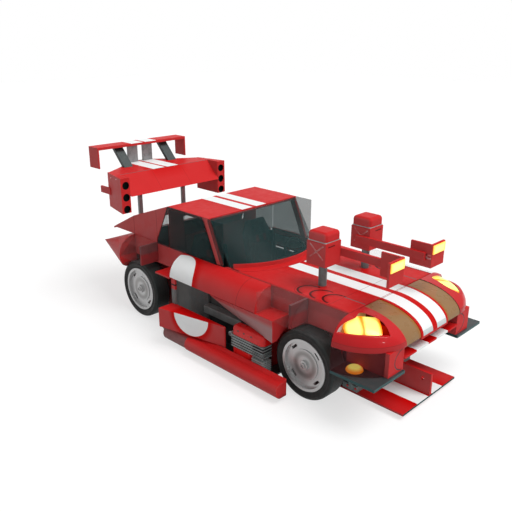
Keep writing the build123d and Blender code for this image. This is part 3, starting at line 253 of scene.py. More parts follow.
    def paint(self, colour, share):
        """Lays a colour over what is there, where the share is 1."""
        node = self.nodes.new("ShaderNodeMix")
        node.data_type = "RGBA"
        self.put(share, node.inputs["Factor"])
        self.put(self.colour, node.inputs["A"])
        self.put((*colour, 1), node.inputs["B"])
        self.colour = node.outputs["Result"]
        self.links.new(self.colour, self.shader.inputs["Base Color"])
        return self

    def tarnish(self, scale, colour, amount, stretch=(1, 1, 1)):
        """Patches of another colour, as dust, oil or wear leave."""
        patches = self.ramp(self.grain(scale, 6.0, stretch), 0.45, 0.75, 0.0, amount)
        return self.paint(colour, patches)

    def uneven(self, scale, spread, stretch=(1, 1, 1)):
        """Roughness that wanders by a spread on each side of the finish's own."""
        value = self.ramp(self.grain(scale, 3.0, stretch), 0.3, 0.7, self.rough - spread,
                          self.rough + spread)
        self.links.new(value, self.shader.inputs["Roughness"])
        return self

    def worn(self, colour, amount, reach=0.012):
        """Edges rubbed through to another colour."""
        soft = self.nodes.new("ShaderNodeBevel")
        soft.inputs["Radius"].default_value = reach
        soft.samples = 4
        own = self.nodes.new("ShaderNodeNewGeometry")
        turn = self.nodes.new("ShaderNodeVectorMath")
        turn.operation = "DOT_PRODUCT"
        self.links.new(soft.outputs[0], turn.inputs[0])
        self.links.new(own.outputs["Normal"], turn.inputs[1])
        edge = self.ramp(turn.outputs["Value"], 0.99, 0.90)
        rubbed = self.both(edge, self.ramp(self.grain(0.05, 5.0), 0.45, 0.6, 0.0, amount))
        return self.paint(colour, rubbed)

    def bump(self, height, depth, strength=0.4):
        """Relief from a height share, as deep as given."""
        node = self.nodes.new("ShaderNodeBump")
        node.inputs["Strength"].default_value = strength
        node.inputs["Distance"].default_value = depth
        self.put(height, node.inputs["Height"])
        if self.height:
            self.links.new(self.height, node.inputs["Normal"])
        self.height = node.outputs["Normal"]
        self.links.new(self.height, self.shader.inputs["Normal"])
        return self


def dress(node, finish, edge=0.0):
    """Gives a CAD node its finish, and where an edge is given, its rounded edges."""
    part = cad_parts[node]
    for place in part.material_slots:
        place.material = finish.material
    if edge:
        merged = part.modifiers.new("merged", "WELD")
        merged.merge_threshold = 0.0001
        flat = part.modifiers.new("flat_faces", "DECIMATE")
        flat.decimate_type = "DISSOLVE"
        flat.angle_limit = math.radians(0.5)
        rounded = part.modifiers.new("rounded_edges", "BEVEL")
        rounded.width = edge
        rounded.segments = 2
        rounded.limit_method = "ANGLE"
        rounded.angle_limit = math.radians(35)
        rounded.use_clamp_overlap = False
        even = part.modifiers.new("even_shading", "WEIGHTED_NORMAL")
        even.weight = 80


composite = Finish("composite_floor", (0.028, 0.034, 0.035), 0.42, specular=0.35)
weave = composite.weave("X", "Y", 1250)
composite.paint((0.05, 0.058, 0.06), composite.ramp(weave, -0.2, 0.6, 0.0, 0.6))
composite.tarnish(0.35, (0.12, 0.10, 0.09), 0.5).uneven(0.08, 0.08)
composite.worn((0.16, 0.16, 0.16), 0.7)
dress("floor_pan", composite, 0.003)

# ---- Bulkheads -----------------------------------------------------------------------------------
# Flat walls at both ends of the cabin, cut from panel and bonded to the floor. They carry
# the same red enamel as the body, with a pale painted sheen on the faces that stand upright.
RED = (0.60, 0.017, 0.018)
DEEP_RED = (0.57, 0.0012, 0.0012)
WHITE = (0.90, 0.93, 0.93)


def racing_red(name, upright_sheen=0.19):
    """Red enamel: a little chalky, with a pale painted sheen on its upright faces, in dusty
    patches.
    """
    red = Finish(name, RED, 0.5, specular=0.06, coat=0.05)
    red.tarnish(0.5, (0.54, 0.011, 0.011), 0.45)
    # Upright faces, the sides most, are painted toward pale grey in patches: painted sheen of the
    # pale studio as well as road dust.
    sides = red.flanks("Y", 0.55, 0.95, 0.0, upright_sheen)
    end_sheen = red.flanks("X", 0.6, 0.95, 0.0, upright_sheen * 0.25)
    patchy = red.ramp(red.grain(0.22, 5.0), 0.3, 0.7, 0.8, 1.2)
    red.paint((0.28, 0.29, 0.29), red.both(red.either(sides, end_sheen), patchy))
    red.uneven(0.06, 0.07)
    return red.bump(red.grain(0.004, 2.0), 0.0004, 0.25)


def seam(finish, axis, place, width=0.004, colour=(0.10, 0.012, 0.012)):
    """A shut line between two panels, across one axis."""
    line = finish.within(finish.along(axis), place - width / 2, place + width / 2, 0.001)
    return finish.paint(colour, finish.both(line, 0.75))


bulkhead_red = racing_red("bulkhead_red", 0.3)
dress("bulkheads", bulkhead_red, 0.003)

# ---- Front and rear suspension -------------------------------------------------------------------
# Flat A-arms cut from steel plate and dampers that stand on the lower arms, painted satin
# grey. A pale enamelled coil spring is wound round each damper.
arm_steel = Finish("arm_steel", (0.10, 0.11, 0.115), 0.38, metal=0.5, specular=0.4)
arm_steel.tarnish(0.05, (0.09, 0.07, 0.055), 0.7).uneven(0.03, 0.12)
arm_steel.worn((0.42, 0.42, 0.42), 0.8).bump(arm_steel.grain(0.006), 0.0006)
dress("suspension", arm_steel, 0.002)


def clean_start():
    """Deselects everything, so that the next operator acts on the new piece alone."""
    if bpy.context.object and bpy.context.object.mode != "OBJECT":
        bpy.ops.object.mode_set(mode="OBJECT")
    bpy.ops.object.select_all(action="DESELECT")


def fit(piece, finish, body):
    """Gives a new piece its finish and the part it moves with."""
    piece.data.materials.clear()
    piece.data.materials.append(finish.material)
    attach(piece, body)
    return piece


def copy_of(piece, name, shift=(0, 0, 0), mirror=False):
    """The same piece at another place, or on the other side of the car, with its own mesh."""
    clean_start()
    piece.select_set(True)
    bpy.context.view_layer.objects.active = piece
    bpy.ops.object.duplicate()
    other = bpy.context.object
    other.name = name
    other.data.name = name
    other.location = shift
    if mirror:
        other.scale = (1, -1, 1)
    bpy.ops.object.transform_apply(location=True, rotation=True, scale=True)
    if mirror:
        bpy.ops.object.mode_set(mode="EDIT")
        bpy.ops.mesh.select_all(action="SELECT")
        bpy.ops.mesh.normals_make_consistent(inside=False)
        bpy.ops.object.mode_set(mode="OBJECT")
    return other


def pair(piece, finish, body):
    """Fits a piece of the left side and its mirrored twin on the right."""
    twin = copy_of(piece, piece.name.replace("left", "right"), mirror=True)
    return fit(piece, finish, body), fit(twin, finish, body)


FRONT_AXLE = 1.386
TO_REAR_AXLE = (-2.564, 0, 0)
coil_radius = 0.043
coil_rise = 0.027
spring_enamel = Finish("spring_enamel", (0.30, 0.30, 0.28), 0.35, metal=0.2, specular=0.4)
spring_enamel.tarnish(0.02, (0.12, 0.08, 0.05), 0.5).uneven(0.02, 0.08)
spring_enamel.worn((0.5, 0.5, 0.5), 0.6).bump(spring_enamel.grain(0.002), 0.0003)
clean_start()
bpy.ops.mesh.primitive_circle_add(vertices=10, radius=0.0055, rotation=(math.radians(90), 0, 0))
spring = bpy.context.object
spring.name = "spring_front_left"
spring.data.name = "spring_front_left"
bpy.ops.object.transform_apply(location=True, rotation=True, scale=True)
bpy.ops.object.mode_set(mode="EDIT")
bpy.ops.mesh.select_all(action="SELECT")
bpy.ops.transform.translate(value=(coil_radius, 0, 0))
bpy.ops.object.mode_set(mode="OBJECT")
winding = spring.modifiers.new("winding", "SCREW")
winding.axis = "Z"
winding.screw_offset = coil_rise
winding.iterations = 6
winding.steps = 24
winding.render_steps = 24
bpy.ops.object.modifier_apply(modifier="winding")
bpy.ops.object.mode_set(mode="EDIT")
bpy.ops.mesh.select_all(action="SELECT")
bpy.ops.mesh.normals_make_consistent(inside=False)
bpy.ops.transform.translate(value=(FRONT_AXLE, 0.530, 0.512))
bpy.ops.object.mode_set(mode="OBJECT")
bpy.ops.object.shade_smooth_by_angle(angle=math.radians(60))
pair(spring, spring_enamel, "chassis")
rear_spring = copy_of(spring, "spring_rear_left", TO_REAR_AXLE)
pair(rear_spring, spring_enamel, "chassis")

# ---- Front uprights ------------------------------------------------------------------------------
# The steered uprights are sand-cast alloy with a machined spindle for the hub. The cast
# skin is rough and dull, and the edges have been dressed bright.
cast_alloy = Finish("cast_alloy", (0.30, 0.31, 0.32), 0.55, metal=0.7, specular=0.4)
cast_alloy.tarnish(0.04, (0.16, 0.14, 0.12), 0.6).uneven(0.02, 0.1)
cast_alloy.worn((0.62, 0.62, 0.62), 0.8).bump(cast_alloy.grain(0.003), 0.0012, 0.6)
dress("knuckle_left", cast_alloy, 0.004)
dress("knuckle_right", cast_alloy, 0.004)

# ---- Wheels --------------------------------------------------------------------------------------
# Dished discs spun from alloy sheet, pressed into a plain barrel and turned on a lathe.
# Fine turning rings run round the axle, brake dust darkens the dish, and one steel nut
# holds each wheel.
CORNERS = ("fl", "fr", "rl", "rr")


def from_axle(finish, node):
    """The distance out from the axle of a wheel or a tyre."""
    low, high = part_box(node)
    axle = ((low[0] + high[0]) / 2, (low[2] + high[2]) / 2)
    return finish.oval(finish.along("X"), finish.along("Z"), axle, (1, 1))


for corner in CORNERS:
    alloy = Finish("wheel_alloy_" + corner, (0.52, 0.52, 0.52), 0.30, metal=0.4, specular=0.5,
                   coat=0.3)
    radius = from_axle(alloy, "rim_" + corner)
    rings = alloy.waves(radius, 2600)
    alloy.paint((0.40, 0.40, 0.405), alloy.ramp(rings, -1, 1, 0.0, 0.25))
    alloy.paint((0.26, 0.255, 0.25), alloy.within(radius, 0.100, 0.118, 0.03))
    alloy.tarnish(0.30, (0.42, 0.41, 0.40), 0.25).uneven(0.15, 0.03)
    alloy.bump(rings, 0.0002, 0.2)
    dress("rim_" + corner, alloy)


def turned(name, rings, sides=32):
    """A round piece built ring by ring up its own axis, as (radius, height) pairs."""
    clean_start()
    radius, height = rings[0]
    bpy.ops.mesh.primitive_circle_add(vertices=sides, radius=radius, fill_type="NGON",
                                      location=(0, 0, 0))
    piece = bpy.context.object
    piece.name = name
    piece.data.name = name
    bpy.ops.object.mode_set(mode="EDIT")
    bpy.ops.mesh.select_all(action="SELECT")
    bpy.ops.transform.translate(value=(0, 0, height))
    for next_radius, next_height in rings[1:]:
        bpy.ops.mesh.extrude_region_move(
            TRANSFORM_OT_translate={"value": (0, 0, next_height - height)})
        bpy.ops.transform.resize(value=(next_radius / radius, next_radius / radius, 1))
        radius, height = next_radius, next_height
    bpy.ops.mesh.select_all(action="SELECT")
    bpy.ops.mesh.normals_make_consistent(inside=False)
    bpy.ops.object.mode_set(mode="OBJECT")
    bpy.ops.object.shade_smooth_by_angle(angle=math.radians(35))
    return piece


def stand(piece, place, turn=(0, 0, 0)):
    """Turns a piece about its own origin and sets it in place, in its mesh."""
    clean_start()
    piece.select_set(True)
    bpy.context.view_layer.objects.active = piece
    piece.rotation_euler = [math.radians(angle) for angle in turn]
    piece.location = place
    bpy.ops.object.transform_apply(location=True, rotation=True, scale=True)
    return piece


nut_steel = Finish("nut_steel", (0.34, 0.34, 0.34), 0.3, metal=0.8, specular=0.5)
nut_steel.tarnish(0.01, (0.15, 0.13, 0.12), 0.5).uneven(0.01, 0.08)
nut_steel.worn((0.6, 0.6, 0.6), 0.7).bump(nut_steel.grain(0.001), 0.0002)
centre_nut = turned("centre_nut_fl", [(0.030, 0.0), (0.030, 0.010), (0.026, 0.013),
                                      (0.015, 0.013), (0.013, 0.006)], 6)
LEFTWARDS = (-90, 0, 0)
stand(centre_nut, (FRONT_AXLE, 0.8055, 0.340), LEFTWARDS)
nuts = [centre_nut, copy_of(centre_nut, "centre_nut_fr", mirror=True)]
for rear, front in (("centre_nut_rl", nuts[0]), ("centre_nut_rr", nuts[1])):
    nuts.append(copy_of(front, rear, TO_REAR_AXLE))
for corner, nut in zip(CORNERS, nuts):
    fit(nut, nut_steel, "wheel_" + corner)

# ---- Tyres ---------------------------------------------------------------------------------------
# Wide racing rubber with a nearly slick tread, moulded rings on the sidewall and a scrubbed
# crown. Dust fills the fine mould lines.
for corner in CORNERS:
    rubber = Finish("tyre_rubber_" + corner, (0.0125, 0.0125, 0.0125), 0.62, specular=0.25)
    radius = from_axle(rubber, "tyre_" + corner)
    crown = rubber.ramp(radius, 0.322, 0.336)
    rubber.paint((0.030, 0.038, 0.038), crown)
    lines = rubber.waves(rubber.along("Y"), 190)
    groove = rubber.both(rubber.ramp(lines, 0.93, 0.99), crown)
    rubber.paint((0.006, 0.008, 0.008), groove)
    mould = rubber.either(rubber.within(radius, 0.262, 0.2645),
                          rubber.within(radius, 0.305, 0.308))
    rubber.paint((0.035, 0.036, 0.036), rubber.both(mould, 0.8))
    rubber.tarnish(0.09, (0.045, 0.042, 0.038), 0.45).uneven(0.02, 0.1)
    scrub = rubber.grain(0.004, 5.0)
    relief = rubber.sum("ADD", rubber.sum("MULTIPLY", scrub, 0.35),
                        rubber.sum("SUBTRACT", mould, groove))
    rubber.bump(relief, 0.002, 0.6)
    dress("tyre_" + corner, rubber)

# ---- Body sides ----------------------------------------------------------------------------------
# Flat panels beside the engine bay and the tail, each with its wheel house behind it. Shut
# lines mark where one panel ends and the next begins.
side_red = racing_red("side_red")
seam(side_red, "X", 1.317)
side_red.tarnish(0.2, (0.10, 0.06, 0.055), 0.25)
# The top of the panel, inside the arch box, is painted a darker red as shade.
side_red.paint((0.30, 0.045, 0.045), side_red.fade("Z", 0.84, 0.87, 0.0, 0.45))
dress("front_sides", side_red, 0.003)
tail_side_red = racing_red("tail_side_red")
seam(tail_side_red, "X", -0.951)
dress("rear_sides", tail_side_red, 0.003)

# ---- Sills ---------------------------------------------------------------------------------------
# Hollow mouldings below the doors. Their undersides curve in, and the lower half is painted
# a pinkish grey as a reflection of the pale floor on the curve.
pod_red = racing_red("pod_red", 0.3)
belly_reflection = pod_red.both(pod_red.strip("Z", 0.50, 0.63, 0.05),
                     pod_red.flanks("Y", 0.3, 0.9))
pod_red.paint((0.40, 0.28, 0.28), pod_red.both(belly_reflection, 0.8))
seam(pod_red, "X", 0.55)
dress("side_pods", pod_red, 0.004)

# ---- Side skirts ---------------------------------------------------------------------------------
# A thick rounded rail along each side, close to the road. The rear length is a separate
# moulding, pale grey-pink on its lower side, and a seam shows where the two meet.
skirt_red = racing_red("skirt_red", 0.14)
rear_length = skirt_red.fade("X", -0.030, -0.031)
lower_side = skirt_red.fade("Z", 0.190, 0.165)
skirt_red.paint((0.24, 0.14, 0.14), skirt_red.both(rear_length, lower_side, 0.85))
# The foot of the rail is painted a darker red as the shade near the road.
skirt_red.paint((0.16, 0.02, 0.02), skirt_red.fade("Z", 0.085, 0.05, 0.0, 0.55))
seam(skirt_red, "X", -0.030, 0.006)
skirt_red.worn((0.30, 0.14, 0.13), 0.5)
dress("skirts", skirt_red, 0.004)

# ---- Intake blocks and posts ---------------------------------------------------------------------
# A solid wedge stands on each skirt and carries the lower half of a white roundel. The post
# behind it is bare grey below a red head.
block_red = racing_red("block_red", 0.16)
lower_disc = block_red.oval(block_red.along("X"), block_red.along("Z"), (0.024, 0.437),
                            (0.218, 0.212))
outer_face = block_red.fade("out", 0.885, 0.895)
block_red.paint(DEEP_RED, block_red.both(block_red.ramp(lower_disc, 1.35, 1.12, 0.0, 1.0),
                                         block_red.fade("out", 0.70, 0.85)))
disc_share = block_red.both(block_red.ramp(lower_disc, 1.006, 0.994), outer_face)
side_on = block_red.flanks("Y", 0.6, 0.7)
block_red.paint((0.93, 0.95, 0.95), block_red.both(disc_share, side_on))
on_post = block_red.both(block_red.fade("Z", 0.438, 0.441),
                         block_red.fade("X", -0.335, -0.34))
block_red.paint((0.17, 0.18, 0.18), block_red.both(on_post, block_red.fade("Z", 0.612, 0.606)))
block_red.paint((0.012, 0.014, 0.014), block_red.both(on_post, block_red.strip("Z", 0.652, 0.668)))
block_red.worn((0.34, 0.10, 0.09), 0.5)
dress("intake_blocks", block_red, 0.005)

# ---- Exhaust planks and vent panels --------------------------------------------------------------
# The exhaust leaves along each side in a flat grey duct under a heat shield. Behind it the
# vent panel is a dark, coarse mesh.
duct_grey = Finish("duct_grey", (0.27, 0.29, 0.29), 0.42, metal=0.2, specular=0.35)
mesh_share = duct_grey.fade("X", -0.07, -0.08)
duct_grey.paint((0.055, 0.055, 0.055), mesh_share)
duct_grey.paint((0.11, 0.035, 0.03), duct_grey.both(mesh_share, duct_grey.ramp(
    duct_grey.grain(0.035, 6.0), 0.55, 0.72, 0.0, 0.5)))
duct_grey.tarnish(0.12, (0.10, 0.075, 0.06), 0.4).uneven(0.05, 0.1)
holes = duct_grey.weave("X", "Z", 700)
duct_grey.bump(duct_grey.both(duct_grey.ramp(holes, 0.0, 0.6), mesh_share), 0.0015, 0.7)
duct_grey.worn((0.34, 0.34, 0.34), 0.6)
dress("side_exhausts", duct_grey, 0.003)

# ---- Side units and their coolers ----------------------------------------------------------------
# A finned grey casting sits ahead of the duct, with a slatted cooler on its nose and a short
# grey pipe behind. The cap above is glossy red, and so is the foot below.
unit_grey = Finish("unit_grey", (0.30, 0.335, 0.335), 0.42, metal=0.2, specular=0.35)
unit_grey.tarnish(0.07, (0.16, 0.155, 0.15), 0.6).uneven(0.03, 0.1)
tubes = unit_grey.waves(unit_grey.along("Z"), 400)
core = unit_grey.fade("X", 0.83, 0.835)
# Dark bands between the core's tubes are painted shade in the gaps, with a bump for relief.
unit_grey.paint((0.05, 0.055, 0.055), unit_grey.both(unit_grey.ramp(tubes, 0.2, -0.4), core))
unit_grey.bump(unit_grey.both(tubes, core), 0.003, 0.5)
unit_grey.worn((0.36, 0.37, 0.37), 0.7)
dress("side_units", unit_grey, 0.002)
cap_red = Finish("cap_red", (0.72, 0.006, 0.006), 0.3, specular=0.15, coat=0.3)
cap_red.tarnish(0.2, (0.52, 0.005, 0.005), 0.5).uneven(0.05, 0.05)
# Three holes in the cap's outer face are painted dark as the shade inside them.
for place in (0.640, 0.721, 0.820):
    shaded_bore = cap_red.oval(cap_red.along("X"), cap_red.along("Z"), (place, 0.465), (0.012, 0.009))
    cap_red.paint((0.01, 0.02, 0.02), cap_red.both(cap_red.ramp(shaded_bore, 1.1, 0.9),
                                                   cap_red.fade("out", 0.90, 0.91)))
cap_red.bump(cap_red.grain(0.006, 2.0), 0.0005, 0.2)
dress("unit_covers", cap_red, 0.004)


def block(name, low, high, round_by=0.002, steps=2):
    """A block between two corners with its edges rounded."""
    clean_start()
    bpy.ops.mesh.primitive_cube_add(size=1, location=(0, 0, 0))
    piece = bpy.context.object
    piece.name = name
    piece.data.name = name
    bpy.ops.object.mode_set(mode="EDIT")
    bpy.ops.mesh.select_all(action="SELECT")
    bpy.ops.transform.resize(value=tuple(b - a for a, b in zip(low, high)))
    bpy.ops.transform.translate(value=tuple((a + b) / 2 for a, b in zip(low, high)))
    bpy.ops.mesh.bevel(offset=round_by, segments=steps, affect="EDGES")
    bpy.ops.object.mode_set(mode="OBJECT")
    bpy.ops.object.shade_smooth_by_angle(angle=math.radians(40))
    return piece


def joined(name, pieces):
    """Several new pieces made one, under one name."""
    clean_start()
    for piece in pieces:
        piece.select_set(True)
    bpy.context.view_layer.objects.active = pieces[0]
    bpy.ops.object.join()
    whole = bpy.context.object
    whole.name = name
    whole.data.name = name
    return whole


slat_grey = Finish("slat_grey", (0.36, 0.385, 0.385), 0.4, metal=0.2, specular=0.35)
slat_grey.tarnish(0.05, (0.10, 0.095, 0.09), 0.5).uneven(0.03, 0.08)
slat_grey.worn((0.42, 0.43, 0.43), 0.6).bump(slat_grey.grain(0.003), 0.0004)
lowest_slat, slat_step, slat_height = 0.094, 0.0205, 0.008
slats = []
for k in range(8):
    z0 = lowest_slat + slat_step * k
    slats.append(block("slat", (0.826, 0.802, z0), (0.984, 0.919, z0 + slat_height), 0.0025))
cooler = joined("cooler_slats_left", slats)
pair(cooler, slat_grey, "chassis")
pipe = turned("unit_pipe_left", [(0.021, 0.0), (0.024, 0.002), (0.024, 0.012), (0.020, 0.014),
                                 (0.020, 0.090), (0.024, 0.092), (0.024, 0.104), (0.017, 0.106),
                                 (0.016, 0.070)])
stand(pipe, (0.514, 0.800, 0.390), LEFTWARDS)
pair(pipe, slat_grey, "chassis")

# ---- Arch boxes, plates and covers ---------------------------------------------------------------
# Square boxes of clear plastic close the shoulders over the wheels, and thin plates finish
# their ends, painted dark red-brown, redder below, as the shade inside the boxes. Shells of
# the clear sheet carry on round the front wheels and the nose.
clear_sheet = Finish("clear_sheet", (0.26, 0.20, 0.20), 0.4, specular=0.03)
clear_sheet.shader.inputs["Alpha"].default_value = 0.06
clear_sheet.tarnish(0.25, (0.34, 0.30, 0.29), 0.5).uneven(0.05, 0.08)
clear_sheet.bump(clear_sheet.grain(0.002, 2.0, (1, 1, 10)), 0.0002, 0.15)
for cover in ("arch_boxes", "fender_covers"):
    dress(cover, clear_sheet)
nose_sheet = Finish("nose_sheet", (0.085, 0.020, 0.024), 0.4, specular=0.03)
nose_sheet.shader.inputs["Alpha"].default_value = 0.34
nose_sheet.tarnish(0.2, (0.12, 0.05, 0.055), 0.5).uneven(0.05, 0.08)
nose_sheet.bump(nose_sheet.grain(0.002, 2.0, (1, 1, 10)), 0.0002, 0.15)
dress("nose_covers", nose_sheet)
# The plates' dark red-brown and lower red bands are painted shade.
arch_plate_shade = Finish("arch_plate_shade", (0.170, 0.056, 0.058), 0.4, specular=0.08)
arch_plate_shade.paint((0.27, 0.030, 0.032), arch_plate_shade.fade("Z", 0.86, 0.83))
arch_plate_shade.tarnish(0.12, (0.08, 0.04, 0.04), 0.5).uneven(0.05, 0.1)
arch_plate_shade.bump(arch_plate_shade.grain(0.004, 2.0), 0.0004, 0.2)
dress("arch_plates", arch_plate_shade, 0.003)

# ---- Doors ---------------------------------------------------------------------------------------
# Each door is a rounded shoulder panel under a flat window. The upper half of a white
# roundel wraps over the shoulder, and its halo is a cleaner red.
door_red = racing_red("door_red", 0.12)
shoulder_foot, shoulder_middle, shoulder_radius = 0.720, 0.680, 0.227
bend = door_red.sum("ARCTAN2", door_red.sum("SUBTRACT", door_red.along("Z"), shoulder_foot),
                    door_red.sum("SUBTRACT", door_red.along("out"), shoulder_middle))
wrap = door_red.sum("MULTIPLY", bend, shoulder_radius)
upper_disc = door_red.oval(door_red.along("X"), wrap, (-0.318, 0.050), (0.252, 0.278))
door_red.paint(DEEP_RED, door_red.ramp(upper_disc, 1.45, 1.15))
door_red.paint((0.93, 0.94, 0.94), door_red.ramp(upper_disc, 1.006, 0.994))
seam(door_red, "X", 0.60, 0.003)
for door in ("door_left", "door_right"):
    dress(door, door_red, 0.003)

# ---- Roof ----------------------------------------------------------------------------------------
# A flat panel on two raked pillars. A pair of white stripes runs back from a little behind
# the windscreen, with a cleaner red around it.
roof_red = racing_red("roof_red", 0.22)


def stripes(finish, start, end, top_only=True, inner=0.014, outer=0.190):
    """Two white stripes beside the middle line between two places along the car."""
    reach = finish.strip("X", start, end, 0.12)
    halo = finish.both(finish.strip("out", -1, outer, 0.13), reach)
    sharp = finish.strip("X", start, end)
    band = finish.both(finish.strip("out", inner, outer), sharp)
    if top_only:
        top = finish.faces("Z", 0.2, 0.3)
        halo = finish.both(halo, top)
        band = finish.both(band, top)
    finish.paint(DEEP_RED, halo)
    finish.paint(WHITE, band)
    return finish


stripes(roof_red, -0.82, -0.055, inner=0.029, outer=0.184)
dress("roof", roof_red, 0.005)

# ---- Side windows and windscreen -----------------------------------------------------------------
# Smoked plastic sheet, 8 mm thick, dark enough to hide most of the cabin. Fine scratches and
# a haze of dust sit on the outside.
smoke = Finish("smoked_glass", (0.022, 0.052, 0.053), 0.30, specular=0.06)
smoke.tarnish(0.3, (0.040, 0.060, 0.060), 0.4).uneven(0.1, 0.05)
smoke.shader.inputs["Alpha"].default_value = 0.46
smoke.bump(smoke.grain(0.002, 2.0, (1, 1, 12)), 0.0002, 0.15)
for pane in ("door_glass_left", "door_glass_right", "fixed_panes", "windscreen"):
    dress(pane, smoke)

# ---- Cowl ----------------------------------------------------------------------------------------
# The curved gutter at the foot of the windscreen is moulded in one piece and painted. A
# heavier pale painted sheen lies on its upright faces.
dress("cowl", racing_red("cowl_red", 0.3), 0.003)

# ---- Bonnet --------------------------------------------------------------------------------------
# One flat lid that lifts at its front edge. Two sets of curved louvres are pressed into it,
# and the white stripes run from its middle to its front edge.
bonnet_red = racing_red("bonnet_red", 0.2)
stripes(bonnet_red, 0.625, 1.90, inner=0.034, outer=0.193)
top_face = bonnet_red.faces("Z", 0.6, 0.8)
# Each louvre's groove is a dark line of painted shade with a sunken bump, and the pressed scoop
# inside each arc is painted a darker red as shade.
for rear_point in (1.073, 1.227, 1.376):
    middle = rear_point + 0.130
    arc = bonnet_red.oval(bonnet_red.along("X"), bonnet_red.along("out"), (middle, 0.520),
                          (0.130, 0.118))
    rear_half = bonnet_red.fade("X", middle + 0.004, middle - 0.004)
    curve = bonnet_red.both(bonnet_red.within(arc, 0.85, 1.0, 0.02), rear_half)
    leg = bonnet_red.both(bonnet_red.strip("out", 0.402, 0.416),
                          bonnet_red.strip("X", middle, rear_point + 0.160))
    line = bonnet_red.both(bonnet_red.either(curve, leg), top_face)
    bonnet_red.paint((0.050, 0.004, 0.004), bonnet_red.both(line, 0.95))
    scoop_shade = bonnet_red.both(bonnet_red.ramp(arc, 0.50, 0.85), rear_half,
                            bonnet_red.ramp(arc, 0.86, 0.84))
    bonnet_red.paint((0.34, 0.012, 0.012), bonnet_red.both(scoop_shade, top_face, 0.6))
    bonnet_red.bump(line, -0.006, 0.7)
# The outer arc's groove is a darker red line of painted shade.
outer_arc = bonnet_red.oval(bonnet_red.along("X"), bonnet_red.along("out"), (1.203, 0.520),
                            (0.153, 0.140))
outer_groove_shade = bonnet_red.both(bonnet_red.within(outer_arc, 0.960, 1.0, 0.01),
                             bonnet_red.fade("X", 1.206, 1.200))
bonnet_red.paint((0.24, 0.010, 0.010), bonnet_red.both(outer_groove_shade, top_face, 0.7))
lip_line = bonnet_red.both(bonnet_red.strip("out", 0.634, 0.640),
                           bonnet_red.strip("X", 1.13, 1.50))
bonnet_red.paint((0.14, 0.012, 0.012), bonnet_red.both(lip_line, 0.7))
seam(bonnet_red, "X", 1.53, 0.003)
slot_share = bonnet_red.both(bonnet_red.strip("out", 0.413, 0.428),
                             bonnet_red.strip("X", 1.53, 1.755))
bonnet_red.paint((0.19, 0.12, 0.12), bonnet_red.both(slot_share, 0.9))
bonnet_red.bump(slot_share, -0.003, 0.5)
cross = bonnet_red.either(
    bonnet_red.both(bonnet_red.strip("out", 0.347, 0.353), bonnet_red.strip("X", 0.56, 0.84)),
    bonnet_red.both(bonnet_red.strip("X", 0.697, 0.703), bonnet_red.strip("out", 0.24, 0.46)))
bonnet_red.paint((0.44, 0.012, 0.012), bonnet_red.both(cross, top_face, 0.5))
dress("bonnet", bonnet_red, 0.002)

# ---- Lamp towers ---------------------------------------------------------------------------------
# Grey tube posts are bolted through the bonnet and carry a red box each, ribbed with a cross.
# A rounded cap sits on a pale grey band above every box.
post_grey = Finish("post_grey", (0.16, 0.23, 0.23), 0.38, metal=0.1, specular=0.35)
post_grey.tarnish(0.05, (0.09, 0.095, 0.09), 0.5).uneven(0.03, 0.08)
cap_band = post_grey.strip("Z", 1.400, 1.415)
post_grey.paint((0.42, 0.44, 0.44), cap_band)
post_grey.worn((0.06, 0.26, 0.26), 0.7)
post_grey.bump(post_grey.grain(0.003, 3.0, (1, 1, 0.2)), 0.0003, 0.3)
dress("tower_posts", post_grey, 0.003)
tower_red = racing_red("tower_red", 0.2)
# A slot across each box's front face is painted dark as the shade inside it, with a sunken bump.
tower_slot_shade = tower_red.both(tower_red.strip("out", 0.320, 0.417),
                            tower_red.strip("Z", 1.361, 1.371), tower_red.faces("X", 0.6, 0.8))
tower_red.paint((0.06, 0.008, 0.008), tower_red.both(tower_slot_shade, 0.9))
tower_red.bump(tower_slot_shade, -0.004, 0.6)
dress("tower_heads", tower_red, 0.005)
band_grey = Finish("band_grey", (0.46, 0.48, 0.48), 0.35, metal=0.2, specular=0.4)
band_grey.bump(band_grey.grain(0.004, 3.0), 0.0002, 0.3)
band = block("cap_band_left", (1.096, 0.233, 1.4015), (1.310, 0.447, 1.4120), 0.004)
pair(band, band_grey, "bonnet")
boom_red = racing_red("boom_red", 0.2)
dress("lamp_booms", boom_red, 0.004)

rib_red = racing_red("rib_red", 0.08)
rib_red.paint((0.52, 0.28, 0.27), rib_red.ramp(rib_red.grain(0.05), 0.3, 0.6, 0.25, 0.6))
rib_red.worn((0.55, 0.42, 0.42), 0.9)
for face, word in ((0.4530, "outer"), (0.2270, "inner")):
    bars = []
    for tilt in (-40, 40):
        bar = block("bar", (-0.103, -0.004, -0.007), (0.103, 0.004, 0.007), 0.0025)
        bars.append(stand(bar, (1.209, face, 1.3125), (0, tilt, 0)))
    pair(joined("tower_ribs_left_" + word, bars), rib_red, "bonnet")
prongs = []
for z0 in (1.262, 1.290):
    prongs.append(block("prong", (1.938, 0.2165, z0), (1.990, 0.2270, z0 + 0.014)))
prongs.append(block("tab", (1.938, 0.2165, 1.262), (1.956, 0.2270, 1.304)))
pair(joined("boom_tab_left", prongs), rib_red, "bonnet")

